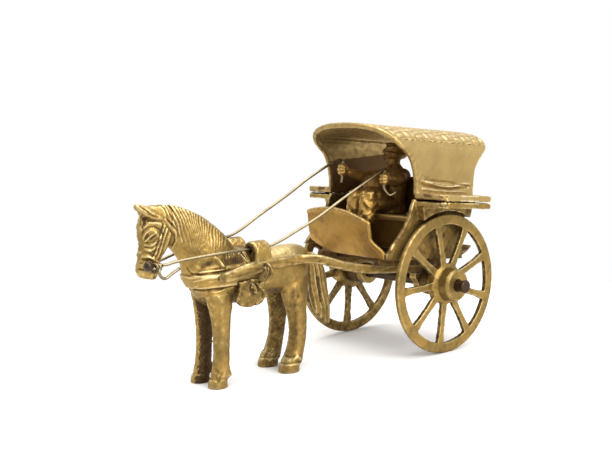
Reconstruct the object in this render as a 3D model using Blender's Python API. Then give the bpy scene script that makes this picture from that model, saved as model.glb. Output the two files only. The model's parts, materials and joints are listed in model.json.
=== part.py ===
# A small cast-brass model of a two-wheeled hooded cart drawn by a horse.
# The horse faces +X, its left side is +Y, and +Z is up. Hooves and wheels stand on z = 0.
# The cart is drawn level about its axle. It then leans back until its shafts meet the horse's pin.

import math

import bmesh
import bpy
from mathutils import Matrix, Vector

MM = 0.001
SEAT_GAP = 0.25 * MM          # left between two pieces that touch
SIDES = ((1, "left"), (-1, "right"))

# Wheels and axle, measured from the axle's centre
WHEEL_RADIUS = 30.0 * MM
RIM_DEPTH = 4.4 * MM
RIM_THICKNESS = 2.2 * MM
RIM_SEGMENTS = 54
SPOKE_COUNT = 9
SPOKE_WIDTH = 2.2 * MM
SPOKE_THICKNESS = 1.8 * MM
SPOKE_FLARE = 2.4 * MM        # added to a spoke's width where it meets the rim
SPOKE_PHASES = (math.radians(21.0), math.radians(25.3))   # where the left and right wheels stand
HUB_RADIUS = 7.0 * MM
HUB_FLANGE_RADIUS = 8.8 * MM
HUB_OUTWARD = 6.2 * MM        # how far the hub stands out of the rim's outer face
HUB_INWARD = 2.2 * MM
HUB_ROUND = 0.9 * MM
AXLE_RADIUS = 2.4 * MM
AXLE_CLEARANCE = 0.15 * MM
AXLE_END = 4.0 * MM           # bare rod beyond the hub
AXLE_HEAD_GROWTH = 0.35 * MM  # the hammered end is this much wider in radius
COLLAR_WALL = 3.2 * MM

# Shafts, hangers and crossbars
SHAFT_SPREAD = 18.0 * MM      # centre of each shaft under the cart
SHAFT_NARROW = 11.0 * MM      # centre of each shaft beside the horse
SHAFT_WIDTH = 3.4 * MM
SHAFT_DEPTH = 3.8 * MM
SHAFT_HEIGHT = 5.7 * MM
SHAFT_REAR = -12.0 * MM
SHAFT_BEND_START = 34.0 * MM
SHAFT_BEND_END = 63.0 * MM
SHAFT_RISE = 4.8 * MM
SHAFT_PIN_REACH = 84.4 * MM
SHAFT_TIP_REACH = 101.0 * MM
SHAFT_TIP_DROP = 6.2 * MM
SHAFT_TIP_RADIUS = 1.6 * MM
HANGER_THICKNESS = 3.6 * MM
HANGER_HALF_LENGTH = 7.6 * MM
HANGER_EYE_WALL = 2.9 * MM
CROSSBAR_LENGTH = 3.8 * MM
CROSSBAR_DEPTH = 2.2 * MM
FRONT_CROSSBAR_X = 19.0 * MM
REAR_CROSSBAR_X = -9.0 * MM
PIN_RADIUS = 0.9 * MM
PIN_CLEARANCE = 0.15 * MM
PIN_HEAD_RADIUS = 1.6 * MM
PIN_HEAD_HEIGHT = 0.8 * MM

# Tub
TUB_HALF_WIDTH = 27.0 * MM
TUB_WALL = 1.8 * MM
TUB_FRONT = 33.0 * MM
TUB_REAR = -14.0 * MM
WHEEL_SIDE_CLEARANCE = 2.2 * MM
WHEEL_TOP_CLEARANCE = 1.3 * MM
FLOOR_THICKNESS = 1.5 * MM
SILL_HEIGHT = 2.9 * MM
TAIL_LIP_REACH = 8.6 * MM
CORNER_CUT_Y = -9.0 * MM      # the front right corner of the floor is cut off from here
CORNER_CUT_X = 17.0 * MM      # to here, at the side
CORNER_CUT_HEIGHT = 2.4 * MM
TAIL_LIP_RISE = 4.4 * MM
SKIRT_CROWN = 1.6 * MM        # skirt left above the wheel arch, under the ledge
SKIRT_WIDTH = 4.0 * MM
LEDGE_HALF_WIDTH = 42.9 * MM
LEDGE_THICKNESS = 2.0 * MM
LEDGE_GAP = 1.1 * MM
LEDGE_FRONT = 17.6 * MM
LEDGE_REAR = -13.4 * MM
HOOD_FRONT = 17.9 * MM
HOOD_REAR = -17.7 * MM
PANEL_TOP_RISE = 0.85 * MM    # the arms stand this far above the ledge
NOTCH_SPOTS = ((12.4, 1.3), (9.2, 1.3), (4.0, 2.6))   # place and length of gaps in the right arm's top edge
DASH_HALF_WIDTHS = (18.6 * MM, 19.6 * MM)   # left and right of the middle, above its foot
DASH_THICKNESS = 1.6 * MM
DASH_HEIGHT = 19.7 * MM
DASH_CREST_Y = -4.6 * MM      # where its arched top edge is highest
DASH_CURVE = 0.0089 / MM      # how fast the top edge falls to either side
DASH_LEAN = 5.4 * MM
DASH_FOOT_RISE = 3.4 * MM     # how far its rounded right foot stands above the floor
BENCH_TOP = 16.5 * MM         # above the floor's top
BENCH_THICKNESS = 2.6 * MM
BENCH_FRONT = 18.0 * MM
BENCH_REAR = -15.5 * MM
RISER_THICKNESS = 1.7 * MM
BACKREST_X = -3.4 * MM
BACKREST_THICKNESS = 1.7 * MM
BACKREST_HEIGHT = 16.4 * MM

# Hood
HOOD_HALF_WIDTH = 27.8 * MM
HOOD_WALL = 1.7 * MM
HOOD_LEDGE_THICKNESS = 2.3 * MM
HOOD_WALL_HEIGHT = 24.0 * MM  # from the ledge's underside to the crease under the roof
ROOF_RISE = 6.5 * MM          # from the crease to the ridge
ROOF_THICKNESS = 2.2 * MM
ROOF_ARCH_START = 6.0 * MM    # below the crease, where the wall begins to curve inward
ROOF_POWER = 2.6
FRONT_FLARE = 18.0 * MM
REAR_FLARE = 11.3 * MM
BEAD_HEIGHT = 1.1 * MM
RIVET_RADIUS = 0.9 * MM
RIVET_CLEARANCE = 0.15 * MM
RIVET_COLLAR_RADIUS = 1.7 * MM
RIVET_Y = 35.5 * MM
RIVET_X = (11.0 * MM, -7.5 * MM)

# Horse, measured from the pin's foot on the ground
PIN_HEIGHT = 45.6 * MM
SADDLE_X = 2.6 * MM
SADDLE_LENGTH = 5.6 * MM
SADDLE_THICKNESS = 1.3 * MM
SADDLE_HALF_WIDTH = 10.0 * MM
SADDLE_BASE = 41.3 * MM       # the level at which its arch would stand upright
SADDLE_CROWN = 2.6 * MM       # its top above the rein rings' centres
TERRET_RADIUS = 3.9 * MM
TERRET_HOLE_RADIUS = 1.4 * MM
TERRET_Y = 8.0 * MM
TERRET_Z = 52.3 * MM
BIT_X = 45.8 * MM
BIT_Z = 50.0 * MM
BIT_RADIUS = 0.8 * MM
BIT_REACHES = (7.0 * MM, 6.0 * MM)    # to the left and to the right of the horse's middle
BIT_KNOB_RADII = (1.8 * MM, 1.2 * MM)
BIT_SKEW = 0.22               # how far the bit's right end lies back, for each step to the side
STRAP_HEIGHT = 5.2 * MM
STRAP_THICKNESS = 0.9 * MM
STRAP_Z = 43.6 * MM

# Driver, measured from the middle of the bench's top, and reins
HAND_LEFT = Vector((21.6, 11.8, 15.0)) * MM
HAND_RIGHT = Vector((25.6, -10.6, 18.2)) * MM
FIST_RADIUS = 2.4 * MM
FIST_HEIGHT = 3.2 * MM        # half its height
KNEE_Y = (1.7 * MM, -5.0 * MM)
REIN_RADIUS = 0.6 * MM
REIN_CLEARANCE = 0.3 * MM
REIN_BOW = (((0.29, -3.4), (0.47, -3.2), (0.66, -1.8), (0.85, -0.8)),     # along the left rein, and its height
            ((0.24, -1.0), (0.5, 0.2), (0.67, 1.6), (0.86, 1.9)))         # above a straight line in mm; the right

# Levels that follow from the sizes above, in the cart's own frame
shaft_top = SHAFT_HEIGHT + SHAFT_DEPTH / 2
crossbar_bottom = shaft_top + SEAT_GAP
floor_bottom = crossbar_bottom + CROSSBAR_DEPTH + SEAT_GAP
floor_top = floor_bottom + FLOOR_THICKNESS
arch_radius = WHEEL_RADIUS + WHEEL_TOP_CLEARANCE
ledge_bottom = arch_radius + SKIRT_CROWN
ledge_top = ledge_bottom + LEDGE_THICKNESS
hood_bottom = ledge_top + LEDGE_GAP
hood_ledge_top = hood_bottom + HOOD_LEDGE_THICKNESS
crease = hood_bottom + HOOD_WALL_HEIGHT
ridge = crease + ROOF_RISE
arch_start = crease - ROOF_ARCH_START
bench_top = floor_top + BENCH_TOP
bench_bottom = bench_top - BENCH_THICKNESS
tub_inside = TUB_HALF_WIDTH - TUB_WALL
wheel_inner_face = TUB_HALF_WIDTH + WHEEL_SIDE_CLEARANCE
wheel_middle = wheel_inner_face + RIM_THICKNESS / 2
hub_inner_face = wheel_inner_face - HUB_INWARD
hub_outer_face = wheel_inner_face + RIM_THICKNESS + HUB_OUTWARD
bore_radius = AXLE_RADIUS + AXLE_CLEARANCE

# The lean that brings the shafts' pin to the horse's pin height
pin_level = SHAFT_HEIGHT + SHAFT_RISE - 2.6 * MM
pin_distance = math.hypot(SHAFT_PIN_REACH, pin_level)
pin_slope = math.asin((PIN_HEIGHT - WHEEL_RADIUS) / pin_distance)
cart_lean = pin_slope - math.atan2(pin_level, SHAFT_PIN_REACH)
pin_x = pin_distance * math.cos(pin_slope)


def mm(*values):
    return Vector(values) * MM


def smooth_steps(points, steps):
    """Points of a smooth curve through the given ones, with a number of steps to each span."""
    ends = [points[0]] + list(points) + [points[-1]]
    curve = []
    for before, start, end, after in zip(ends, ends[1:], ends[2:], ends[3:]):
        for step in range(steps):
            t = step / steps
            t2 = t * t
            t3 = t2 * t
            curve.append(tuple(0.5 * (2 * s + (e - b) * t + (2 * b - 5 * s + 4 * e - a) * t2
                                      + (3 * s - b - 3 * e + a) * t3)
                               for b, s, e, a in zip(before, start, end, after)))
    curve.append(tuple(points[-1]))
    return curve


def look_up(curve, height):
    """The x of a curve of (x, z) points, rising in z, at a height."""
    for (x0, z0), (x1, z1) in zip(curve, curve[1:]):
        if height <= z1 and z1 > z0:
            share = max(0.0, (height - z0) / (z1 - z0))
            return x0 + (x1 - x0) * share
    return curve[-1][0]


def arc_points(centre, radius, start, end, steps):
    """Points (u, v) of an arc, with its angles in degrees."""
    angles = [math.radians(start + (end - start) * i / steps) for i in range(steps + 1)]
    return [(centre[0] + radius * math.cos(a), centre[1] + radius * math.sin(a)) for a in angles]


def ellipse_ring(centre, across, along, half_across, half_along, count, power=2.0):
    """Points of a superellipse round a centre, in the plane of two directions."""
    ring = []
    for i in range(count):
        angle = 2 * math.pi * i / count
        c = math.cos(angle)
        s = math.sin(angle)
        u = math.copysign(abs(c) ** (2 / power), c) * half_across
        v = math.copysign(abs(s) ** (2 / power), s) * half_along
        ring.append(centre + across * u + along * v)
    return ring


def skin_rings(rings, closed_path=False):
    """A closed mesh through rings of points: with capped ends, or joined end to end."""
    shape = bmesh.new()
    loops = [[shape.verts.new(point) for point in ring] for ring in rings]
    pairs = list(zip(loops, loops[1:]))
    if closed_path:
        pairs.append((loops[-1], loops[0]))
    for near, far in pairs:
        for i in range(len(near)):
            j = (i + 1) % len(near)
            shape.faces.new((near[i], near[j], far[j], far[i]))
    if not closed_path:
        shape.faces.new(loops[0])
        shape.faces.new(loops[-1])
    return shape


def extrude_outline(outline, axis, low, high):
    """A flat outline pushed from low to high along Y, as (x, z) points, or along Z, as (x, y) points."""
    place = {"Y": lambda u, v, w: Vector((u, w, v)), "Z": lambda u, v, w: Vector((u, v, w))}[axis]
    return skin_rings([[place(u, v, level) for u, v in outline] for level in (low, high)])


def spin_profile(profile, segments, phase=0.0):
    """A solid of revolution about the Y axis from a loop of (radius, y) points."""
    rings = []
    for i in range(segments):
        angle = phase + 2 * math.pi * i / segments
        rings.append([Vector((r * math.cos(angle), y, r * math.sin(angle))) for r, y in profile])
    return skin_rings(rings, closed_path=True)


def cylinder(centre, direction, radius, length, segments):
    """A cylinder whose middle is at the centre."""
    across = direction.orthogonal().normalized()
    along = direction.cross(across)
    ends = [centre + direction * length * share for share in (-0.5, 0.5)]
    return skin_rings([ellipse_ring(end, across, along, radius, radius, segments) for end in ends])


def rivet_profile(radius, head_radius, head_height, half_length, segments):
    """A pin along Y with a domed head at each end, as rings of points."""
    rings = []
    for side in (-1, 1):
        stations = [(half_length + head_height, 0.35), (half_length + 0.75 * head_height, 0.8),
                    (half_length + 0.3 * head_height, 1.0), (half_length, 1.0)]
        head = [(side * y, head_radius * share) for y, share in stations]
        head.append((side * half_length, radius))
        rings.extend(head if side < 0 else reversed(head))
    return skin_rings([ellipse_ring(Vector((0, y, 0)), Vector((1, 0, 0)), Vector((0, 0, 1)), r, r, segments)
                       for y, r in rings])


def ball(centre, radii, rows, segments):
    """An ellipsoid of rings stacked along Z."""
    rings = []
    for i in range(rows + 1):
        angle = math.pi * (0.06 + 0.88 * i / rows)
        middle = centre - Vector((0, 0, radii[2] * math.cos(angle)))
        share = math.sin(angle)
        rings.append(ellipse_ring(middle, Vector((1, 0, 0)), Vector((0, 1, 0)),
                                  radii[0] * share, radii[1] * share, segments))
    return skin_rings(rings)


def limb(stations, segments):
    """A solid limb through (centre, half along X, half along Y) stations in level slices."""
    return skin_rings([ellipse_ring(centre, Vector((1, 0, 0)), Vector((0, 1, 0)), half_x, half_y, segments)
                       for centre, half_x, half_y in stations])


def sweep(points, radii, segments):
    """A round solid along a path in space, with a radius at each point."""
    rings = []
    across = None
    for i, point in enumerate(points):
        before = points[max(i - 1, 0)]
        after = points[min(i + 1, len(points) - 1)]
        direction = (after - before).normalized()
        if across is None:
            across = direction.orthogonal().normalized()
        across = (across - direction * across.dot(direction)).normalized()
        rings.append(ellipse_ring(point, across, direction.cross(across), radii[i], radii[i], segments))
    return skin_rings(rings)


def make_object(name, shape):
    """Turn a bmesh into an object with its faces pointing out."""
    bmesh.ops.recalc_face_normals(shape, faces=shape.faces)
    mesh = bpy.data.meshes.new(name)
    shape.to_mesh(mesh)
    shape.free()
    thing = bpy.data.objects.new(name, mesh)
    bpy.context.scene.collection.objects.link(thing)
    return thing


def cut_or_join(base, others, operation):
    """Join or cut a piece by others and keep the result as its mesh."""
    for other in others:
        modifier = base.modifiers.new("step", 'BOOLEAN')
        modifier.operation = operation
        modifier.solver = 'EXACT'
        modifier.object = other
        bpy.context.view_layer.update()
        evaluated = base.evaluated_get(bpy.context.evaluated_depsgraph_get())
        result = bpy.data.meshes.new_from_object(evaluated)
        base.modifiers.clear()
        base.data = result
        bpy.data.objects.remove(other)
    return base


def join_shapes(name, shapes):
    base = make_object(name, shapes[0])
    return cut_or_join(base, [make_object(name + "_add", shape) for shape in shapes[1:]], 'UNION')


def cut_shapes(base, shapes):
    return cut_or_join(base, [make_object(base.name + "_cut", shape) for shape in shapes], 'DIFFERENCE')


def finish(thing, material, parent, angle=38.0):
    """Give a finished piece its material, parent and shading."""
    thing.data.materials.clear()
    thing.data.materials.append(material)
    thing.parent = parent
    thing.data.shade_smooth()
    thing.data.set_sharp_from_angle(angle=math.radians(angle))
    return thing


def make_material(name, colour, roughness, metallic=1.0):
    material = bpy.data.materials.new(name)
    material.use_nodes = True
    shader = material.node_tree.nodes["Principled BSDF"]
    shader.inputs["Base Color"].default_value = (*colour, 1.0)
    shader.inputs["Roughness"].default_value = roughness
    shader.inputs["Metallic"].default_value = metallic
    return material


def make_empty(name, location, parent=None):
    empty = bpy.data.objects.new(name, None)
    empty.location = location
    empty.parent = parent
    bpy.context.scene.collection.objects.link(empty)
    return empty


# Outlines shared by more than one piece

def hood_front_curve():
    """The flared front edge of the hood, seen from the side, as (x, z)."""
    height = ridge - hood_bottom
    shares = [(0.0, 0.0), (0.03, 0.24), (0.15, 0.47), (0.33, 0.61), (0.56, 0.72), (0.80, 0.85), (1.0, 1.0)]
    return smooth_steps([(HOOD_FRONT + FRONT_FLARE * x, hood_bottom + height * z) for x, z in shares], 3)


def hood_rear_curve():
    """The flared rear edge of the hood, seen from the side, as (x, z)."""
    height = ridge - hood_bottom
    shares = [(0.0, 0.0), (0.02, 0.36), (0.13, 0.51), (0.38, 0.63), (0.73, 0.75), (0.93, 0.88), (1.0, 1.0)]
    return smooth_steps([(HOOD_REAR - REAR_FLARE * x, hood_bottom + height * z) for x, z in shares], 3)


def arch_height(y, half_width, top):
    """Height of the hood's arch at a distance y from the middle."""
    share = min(abs(y) / half_width, 1.0)
    return arch_start + (top - arch_start) * (1 - share ** ROOF_POWER) ** (1 / ROOF_POWER)


def arch_half_width(z, half_width, top):
    """Half width of the hood's arch at a height z."""
    share = max(0.0, (z - arch_start) / (top - arch_start))
    return half_width * (1 - share ** ROOF_POWER) ** (1 / ROOF_POWER)


def ledge_outline(side, inner_half_width, clearance=0.0):
    """The plan of one mudguard ledge: square in front, cut back at the rear."""
    outer = LEDGE_HALF_WIDTH
    corner = 1.6 * MM
    front_slope = HOOD_FRONT - LEDGE_FRONT
    outline = [(HOOD_FRONT - clearance, inner_half_width), (LEDGE_FRONT + front_slope * 0.15, outer - corner),
               (LEDGE_FRONT - corner, outer), (LEDGE_REAR + corner, outer), (LEDGE_REAR, outer - corner),
               (HOOD_REAR + clearance, inner_half_width)]
    return [(x, side * y) for x, y in outline]


# Pieces of the wheelset

def make_wheel(side, material, parent):
    """A cast wheel whose origin is on the axle, with its hub standing outward."""
    inner_radius = WHEEL_RADIUS - RIM_DEPTH
    half = RIM_THICKNESS / 2
    chamfer = 0.35 * MM
    rim = [(inner_radius, -half), (WHEEL_RADIUS - chamfer, -half), (WHEEL_RADIUS, -half + chamfer),
           (WHEEL_RADIUS, half - chamfer), (WHEEL_RADIUS - chamfer, half), (inner_radius, half)]
    outward = hub_outer_face - wheel_middle
    inward = hub_inner_face - wheel_middle
    hub = [(bore_radius, inward), (HUB_FLANGE_RADIUS - HUB_ROUND, inward),
           (HUB_FLANGE_RADIUS, inward + HUB_ROUND), (HUB_FLANGE_RADIUS, half), (HUB_RADIUS, half + HUB_ROUND),
           (HUB_RADIUS, outward - HUB_ROUND), (HUB_RADIUS - HUB_ROUND, outward), (bore_radius, outward)]
    shapes = [spin_profile([(r, side * y) for r, y in rim], RIM_SEGMENTS, -math.pi / 2),
              spin_profile([(r, side * y) for r, y in hub], 28)]
    phase = SPOKE_PHASES[0] if side > 0 else SPOKE_PHASES[1]
    for i in range(SPOKE_COUNT):
        shapes.append(spoke_shape(math.pi - phase - 2 * math.pi * i / SPOKE_COUNT))
    wheel = join_shapes("wheel_" + dict(SIDES)[side], shapes)
    return finish(wheel, material, parent)


def spoke_shape(angle):
    """One spoke, slim in the middle and flared into the rim and the hub."""
    radial = Vector((math.cos(angle), 0, math.sin(angle)))
    across = Vector((-math.sin(angle), 0, math.cos(angle)))
    start = HUB_FLANGE_RADIUS - 1.0 * MM
    end = WHEEL_RADIUS - RIM_DEPTH + 0.8 * MM
    stations = [(0.0, 0.8), (0.14, 0.25), (0.35, 0.0), (0.7, 0.0), (0.88, 0.35), (1.0, 1.0)]
    rings = []
    outward = Vector((0, SPOKE_THICKNESS / 2, 0))
    for share, flare in stations:
        centre = radial * (start + (end - start) * share)
        half_width = across * (SPOKE_WIDTH + SPOKE_FLARE * flare) / 2
        rings.append([centre - half_width - outward, centre + half_width - outward,
                      centre + half_width + outward, centre - half_width + outward])
    return skin_rings(rings)


def make_axle(material, parent):
    """A steel rod right through, its two ends hammered a little wider."""
    end = hub_outer_face + AXLE_END
    swell = 1.4 * MM
    head = AXLE_RADIUS + AXLE_HEAD_GROWTH
    half = [(0.6 * MM + end, head - 0.5 * MM), (end + 0.2 * MM, head), (end - swell / 2, head - 0.1 * MM),
            (end - swell, AXLE_RADIUS)]
    stations = [(-y, r) for y, r in half] + [(y, r) for y, r in reversed(half)]
    shape = skin_rings([ellipse_ring(Vector((0, y, 0)), Vector((1, 0, 0)), Vector((0, 0, 1)), r, r, 28)
                        for y, r in stations])
    return finish(make_object("axle", shape), material, parent)


def make_axle_collar(side, material, parent):
    """A loose tube on the axle that keeps the wheel away from the hanger."""
    start = SHAFT_SPREAD + HANGER_THICKNESS / 2 + SEAT_GAP
    end = hub_inner_face - SEAT_GAP
    radius = bore_radius + COLLAR_WALL
    edge = 0.5 * MM
    profile = [(bore_radius, start), (radius - edge, start), (radius, start + edge), (radius, end - edge),
               (radius - edge, end), (bore_radius, end)]
    shape = spin_profile([(r, side * y) for r, y in profile], 24)
    return finish(make_object("axle_collar_" + dict(SIDES)[side], shape), material, parent)


# Pieces of the chassis

def shaft_path():
    """The centre line of the left shaft in the cart's frame: straight, a gooseneck, then beside the horse."""
    pin_rise = pin_level - SHAFT_HEIGHT
    middle = (SHAFT_BEND_START + SHAFT_BEND_END) / 2
    points = [(SHAFT_REAR, SHAFT_SPREAD, SHAFT_HEIGHT),
              (SHAFT_BEND_START * 0.4, SHAFT_SPREAD, SHAFT_HEIGHT),
              (SHAFT_BEND_START, SHAFT_SPREAD, SHAFT_HEIGHT + 0.2 * MM),
              (middle, SHAFT_SPREAD - 1.2 * MM, SHAFT_HEIGHT + SHAFT_RISE * 0.42),
              (SHAFT_BEND_END - 5.0 * MM, (SHAFT_SPREAD + SHAFT_NARROW) / 2, SHAFT_HEIGHT + SHAFT_RISE * 0.92),
              (SHAFT_BEND_END + 3.0 * MM, SHAFT_NARROW + 0.5 * MM, SHAFT_HEIGHT + SHAFT_RISE * 0.94),
              (SHAFT_PIN_REACH - 8.0 * MM, SHAFT_NARROW, SHAFT_HEIGHT + pin_rise + 1.0 * MM),
              (SHAFT_PIN_REACH, SHAFT_NARROW, pin_level),
              (SHAFT_TIP_REACH, SHAFT_NARROW, pin_level - SHAFT_TIP_DROP * 0.52)]
    return smooth_steps(points, 2)


def make_shaft(side, material, parent):
    """A flat bar that narrows to a round rod ahead of the pin."""
    path = [Vector((x, side * y, z)) for x, y, z in shaft_path()]
    rings = []
    for i, point in enumerate(path):
        ahead = path[min(i + 1, len(path) - 1)] - path[max(i - 1, 0)]
        ahead.normalize()
        across = Vector((-ahead.y, ahead.x, 0)).normalized()
        upright = ahead.cross(across)
        taper = min(1.0, max(0.0, (point.x - SHAFT_PIN_REACH + 2.0 * MM) / (6.0 * MM)))
        half_width = SHAFT_WIDTH / 2 * (1 - taper) + SHAFT_TIP_RADIUS * taper
        half_depth = SHAFT_DEPTH / 2 * (1 - taper) + SHAFT_TIP_RADIUS * taper
        power = 5.0 - 3.0 * taper
        rings.append(ellipse_ring(point, across, upright, half_width, half_depth, 12, power))
    shaft = make_object("shaft_" + dict(SIDES)[side], skin_rings(rings))
    cut_shapes(shaft, [cylinder(Vector((SHAFT_PIN_REACH, side * SHAFT_NARROW, pin_level)), Vector((0, 1, 0)),
                                PIN_RADIUS + PIN_CLEARANCE, 4 * SHAFT_WIDTH, 12)])
    return finish(shaft, material, parent)


def make_hanger(side, material, parent):
    """A lug under a shaft with a round eye for the axle."""
    top = SHAFT_HEIGHT - SHAFT_DEPTH / 2 - SEAT_GAP
    eye = AXLE_RADIUS + AXLE_CLEARANCE + HANGER_EYE_WALL
    outline = [(HANGER_HALF_LENGTH, top), (HANGER_HALF_LENGTH, top - 2.2 * MM)]
    outline += [(-u, v) for u, v in arc_points((0, 0), eye, 190, 350, 12)]
    outline += [(-HANGER_HALF_LENGTH, top - 2.2 * MM), (-HANGER_HALF_LENGTH, top)]
    low = SHAFT_SPREAD - HANGER_THICKNESS / 2
    shape = extrude_outline(outline, "Y", side * low, side * (low + HANGER_THICKNESS))
    hanger = make_object("axle_hanger_" + dict(SIDES)[side], shape)
    cut_shapes(hanger, [cylinder(Vector((0, side * SHAFT_SPREAD, 0)), Vector((0, 1, 0)), bore_radius,
                                 3 * HANGER_THICKNESS, 28)])
    return finish(hanger, material, parent)


def make_crossbar(name, x, material, parent):
    """A bar laid across both shafts, under the floor."""
    reach = SHAFT_SPREAD + SHAFT_WIDTH / 2
    half = CROSSBAR_LENGTH / 2
    edge = 0.4 * MM
    top = crossbar_bottom + CROSSBAR_DEPTH
    outline = [(x - half, crossbar_bottom), (x + half, crossbar_bottom), (x + half, top - edge),
               (x + half - edge, top), (x - half + edge, top), (x - half, top - edge)]
    return finish(make_object(name, extrude_outline(outline, "Y", -reach, reach)), material, parent)


# Pieces of the tub

def make_floor(material, parent):
    """The floor, with a tail lip that curls up behind for the rear riders' feet."""
    reach = tub_inside - SEAT_GAP
    front = dash_x(floor_bottom) - DASH_THICKNESS - SEAT_GAP
    lip_top = (TUB_REAR - TAIL_LIP_REACH, floor_top + TAIL_LIP_RISE)
    upper = smooth_steps([lip_top, (TUB_REAR - 0.6 * TAIL_LIP_REACH, floor_top + 0.45 * TAIL_LIP_RISE),
                          (TUB_REAR, floor_top)], 3)
    lower = [(x + 0.7 * FLOOR_THICKNESS * (1 if z > floor_top else 0), z - FLOOR_THICKNESS) for x, z in upper]
    outline = upper + [(front, floor_top), (front, floor_bottom)] + list(reversed(lower))
    floor = make_object("floor", extrude_outline(outline, "Y", -reach, reach))
    cut_shapes(floor, [corner_cutter()])
    return finish(floor, material, parent)


def side_panel_outline():
    """A tub side seen from the left: low sill, swept arm, and a waisted rear edge, as (x, z)."""
    sill = floor_bottom + SILL_HEIGHT
    top = ledge_top + PANEL_TOP_RISE
    rise = top - sill
    arm = smooth_steps([(TUB_FRONT - 1.2 * MM, sill), (TUB_FRONT - 3.4 * MM, sill + 0.14 * rise),
                        (TUB_FRONT - 8.0 * MM, sill + 0.37 * rise), (HOOD_FRONT + 2.8 * MM, sill + 0.68 * rise),
                        (HOOD_FRONT + 1.7 * MM, sill + 0.86 * rise), (HOOD_FRONT + 0.2 * MM, top)], 3)
    rear = smooth_steps([(HOOD_REAR + 0.6 * MM, top), (HOOD_REAR + 2.4 * MM, top - 5.4 * MM),
                         (TUB_REAR + 1.0 * MM, top - 11.0 * MM), (TUB_REAR, floor_bottom)], 3)
    return [(TUB_FRONT, floor_bottom), (TUB_FRONT, sill - 0.4 * MM)] + arm + rear


def skirt_outline():
    """The arched skirt over the wheel, under the ledge, as (x, z)."""
    front = HOOD_FRONT - 0.8 * MM
    rear = LEDGE_REAR - 1.0 * MM
    front_angle = math.degrees(math.acos((front - 1.4 * MM) / arch_radius))
    rear_angle = math.degrees(math.acos((rear + 1.2 * MM) / arch_radius))
    arch = arc_points((0, 0), arch_radius, rear_angle, front_angle, 14)
    return [(rear, ledge_bottom + 0.5 * MM)] + arch + [(front, ledge_bottom + 0.5 * MM)]


def make_side_panel(side, material, parent):
    """A tub side with its mudguard ledge and the arched skirt that clears the wheel."""
    inner = tub_inside
    wall = extrude_outline(side_panel_outline(), "Y", side * inner, side * TUB_HALF_WIDTH)
    ledge = extrude_outline(ledge_outline(side, inner + 0.4 * MM, 0.4 * MM), "Z", ledge_bottom, ledge_top)
    skirt = extrude_outline(skirt_outline(), "Y", side * (inner + 0.6 * MM), side * (TUB_HALF_WIDTH + SKIRT_WIDTH))
    panel = join_shapes("side_panel_" + dict(SIDES)[side], [wall, ledge, skirt])
    cutters = rivet_holes(side)
    if side < 0:
        cutters += arm_gaps() + [corner_cutter()]
    cut_shapes(panel, cutters)
    return finish(panel, material, parent)


def arm_gaps():
    """Cutters for three small gaps where the right arm's top edge misses the hood."""
    top = ledge_top + PANEL_TOP_RISE
    wall_middle = -(tub_inside + TUB_HALF_WIDTH) / 2
    gaps = []
    for x, length in NOTCH_SPOTS:
        half = length * MM / 2
        outline = [(x * MM - half, top - 0.55 * MM), (x * MM + half, top - 0.55 * MM),
                   (x * MM + half, top + 1.0 * MM), (x * MM - half, top + 1.0 * MM)]
        gaps.append(extrude_outline(outline, "Y", wall_middle - 3 * TUB_WALL, wall_middle + 2 * TUB_WALL))
    return gaps


def corner_cutter():
    """A wedge that takes the front right corner off the floor and the foot of the right side."""
    front = TUB_FRONT + 4.0 * MM
    side = -TUB_HALF_WIDTH - 3.0 * MM
    plan = [(front, CORNER_CUT_Y), (CORNER_CUT_X, side), (front, side)]
    return extrude_outline(plan, "Z", floor_bottom - 2.0 * MM, floor_bottom + CORNER_CUT_HEIGHT)


def rivet_holes(side):
    """Cutters for the holes that the ledge rivets go through."""
    middle = (ledge_top + hood_bottom) / 2
    return [cylinder(Vector((x, side * RIVET_Y, middle)), Vector((0, 0, 1)), RIVET_RADIUS + RIVET_CLEARANCE,
                     12.0 * MM, 12) for x in RIVET_X]


def dash_x(z):
    """The outer face of the curved dash at a height: upright above, swept back below."""
    share = min(1.0, max(0.0, (z - floor_bottom) / DASH_HEIGHT))
    return TUB_FRONT - 1.2 * MM + DASH_LEAN * math.sin(share * math.pi / 2) ** 0.8


def dash_half_width(z):
    """Half the dash's width at a height on its left, where its foot flares to meet the tub's side."""
    reach = tub_inside - SEAT_GAP
    sill = floor_bottom + SILL_HEIGHT
    share = min(1.0, max(0.0, (z - sill) / (4.0 * MM)))
    blend = share * share * (3 - 2 * share)
    return reach + (DASH_HALF_WIDTHS[0] - reach) * blend


def make_dash(material, parent):
    """The front board: one curved plate with an arched top edge and its right foot rounded off."""
    columns = 12
    rows = 7
    grid = []
    for i in range(columns + 1):
        u = 2 * i / columns - 1
        from_crest = u * DASH_HALF_WIDTHS[0 if u > 0 else 1] - DASH_CREST_Y
        top = floor_bottom + DASH_HEIGHT - DASH_CURVE * from_crest * from_crest
        bottom = floor_bottom + DASH_FOOT_RISE * max(0.0, -u) ** 2.4
        line = []
        for j in range(rows + 1):
            z = bottom + (top - bottom) * (j / rows)
            line.append((u * (dash_half_width(z) if u > 0 else DASH_HALF_WIDTHS[1]), z))
        grid.append(line)
    rings = []
    for line in grid:
        front = [Vector((dash_x(z), y, z)) for y, z in line]
        back = [Vector((dash_x(z) - DASH_THICKNESS, y, z)) for y, z in line]
        rings.append(front + list(reversed(back)))
    return finish(make_object("dash_panel", skin_rings(rings)), material, parent)


def make_bench(material, parent):
    """A plank across the tub that seats the driver in front and riders behind."""
    reach = tub_inside - SEAT_GAP
    edge = 0.4 * MM
    outline = [(BENCH_REAR, bench_bottom + edge), (BENCH_REAR + edge, bench_bottom),
               (BENCH_FRONT - edge, bench_bottom), (BENCH_FRONT, bench_bottom + edge),
               (BENCH_FRONT, bench_top - edge), (BENCH_FRONT - edge, bench_top),
               (BENCH_REAR + edge, bench_top), (BENCH_REAR, bench_top - edge)]
    return finish(make_object("bench", extrude_outline(outline, "Y", -reach, reach)), material, parent)


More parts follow.
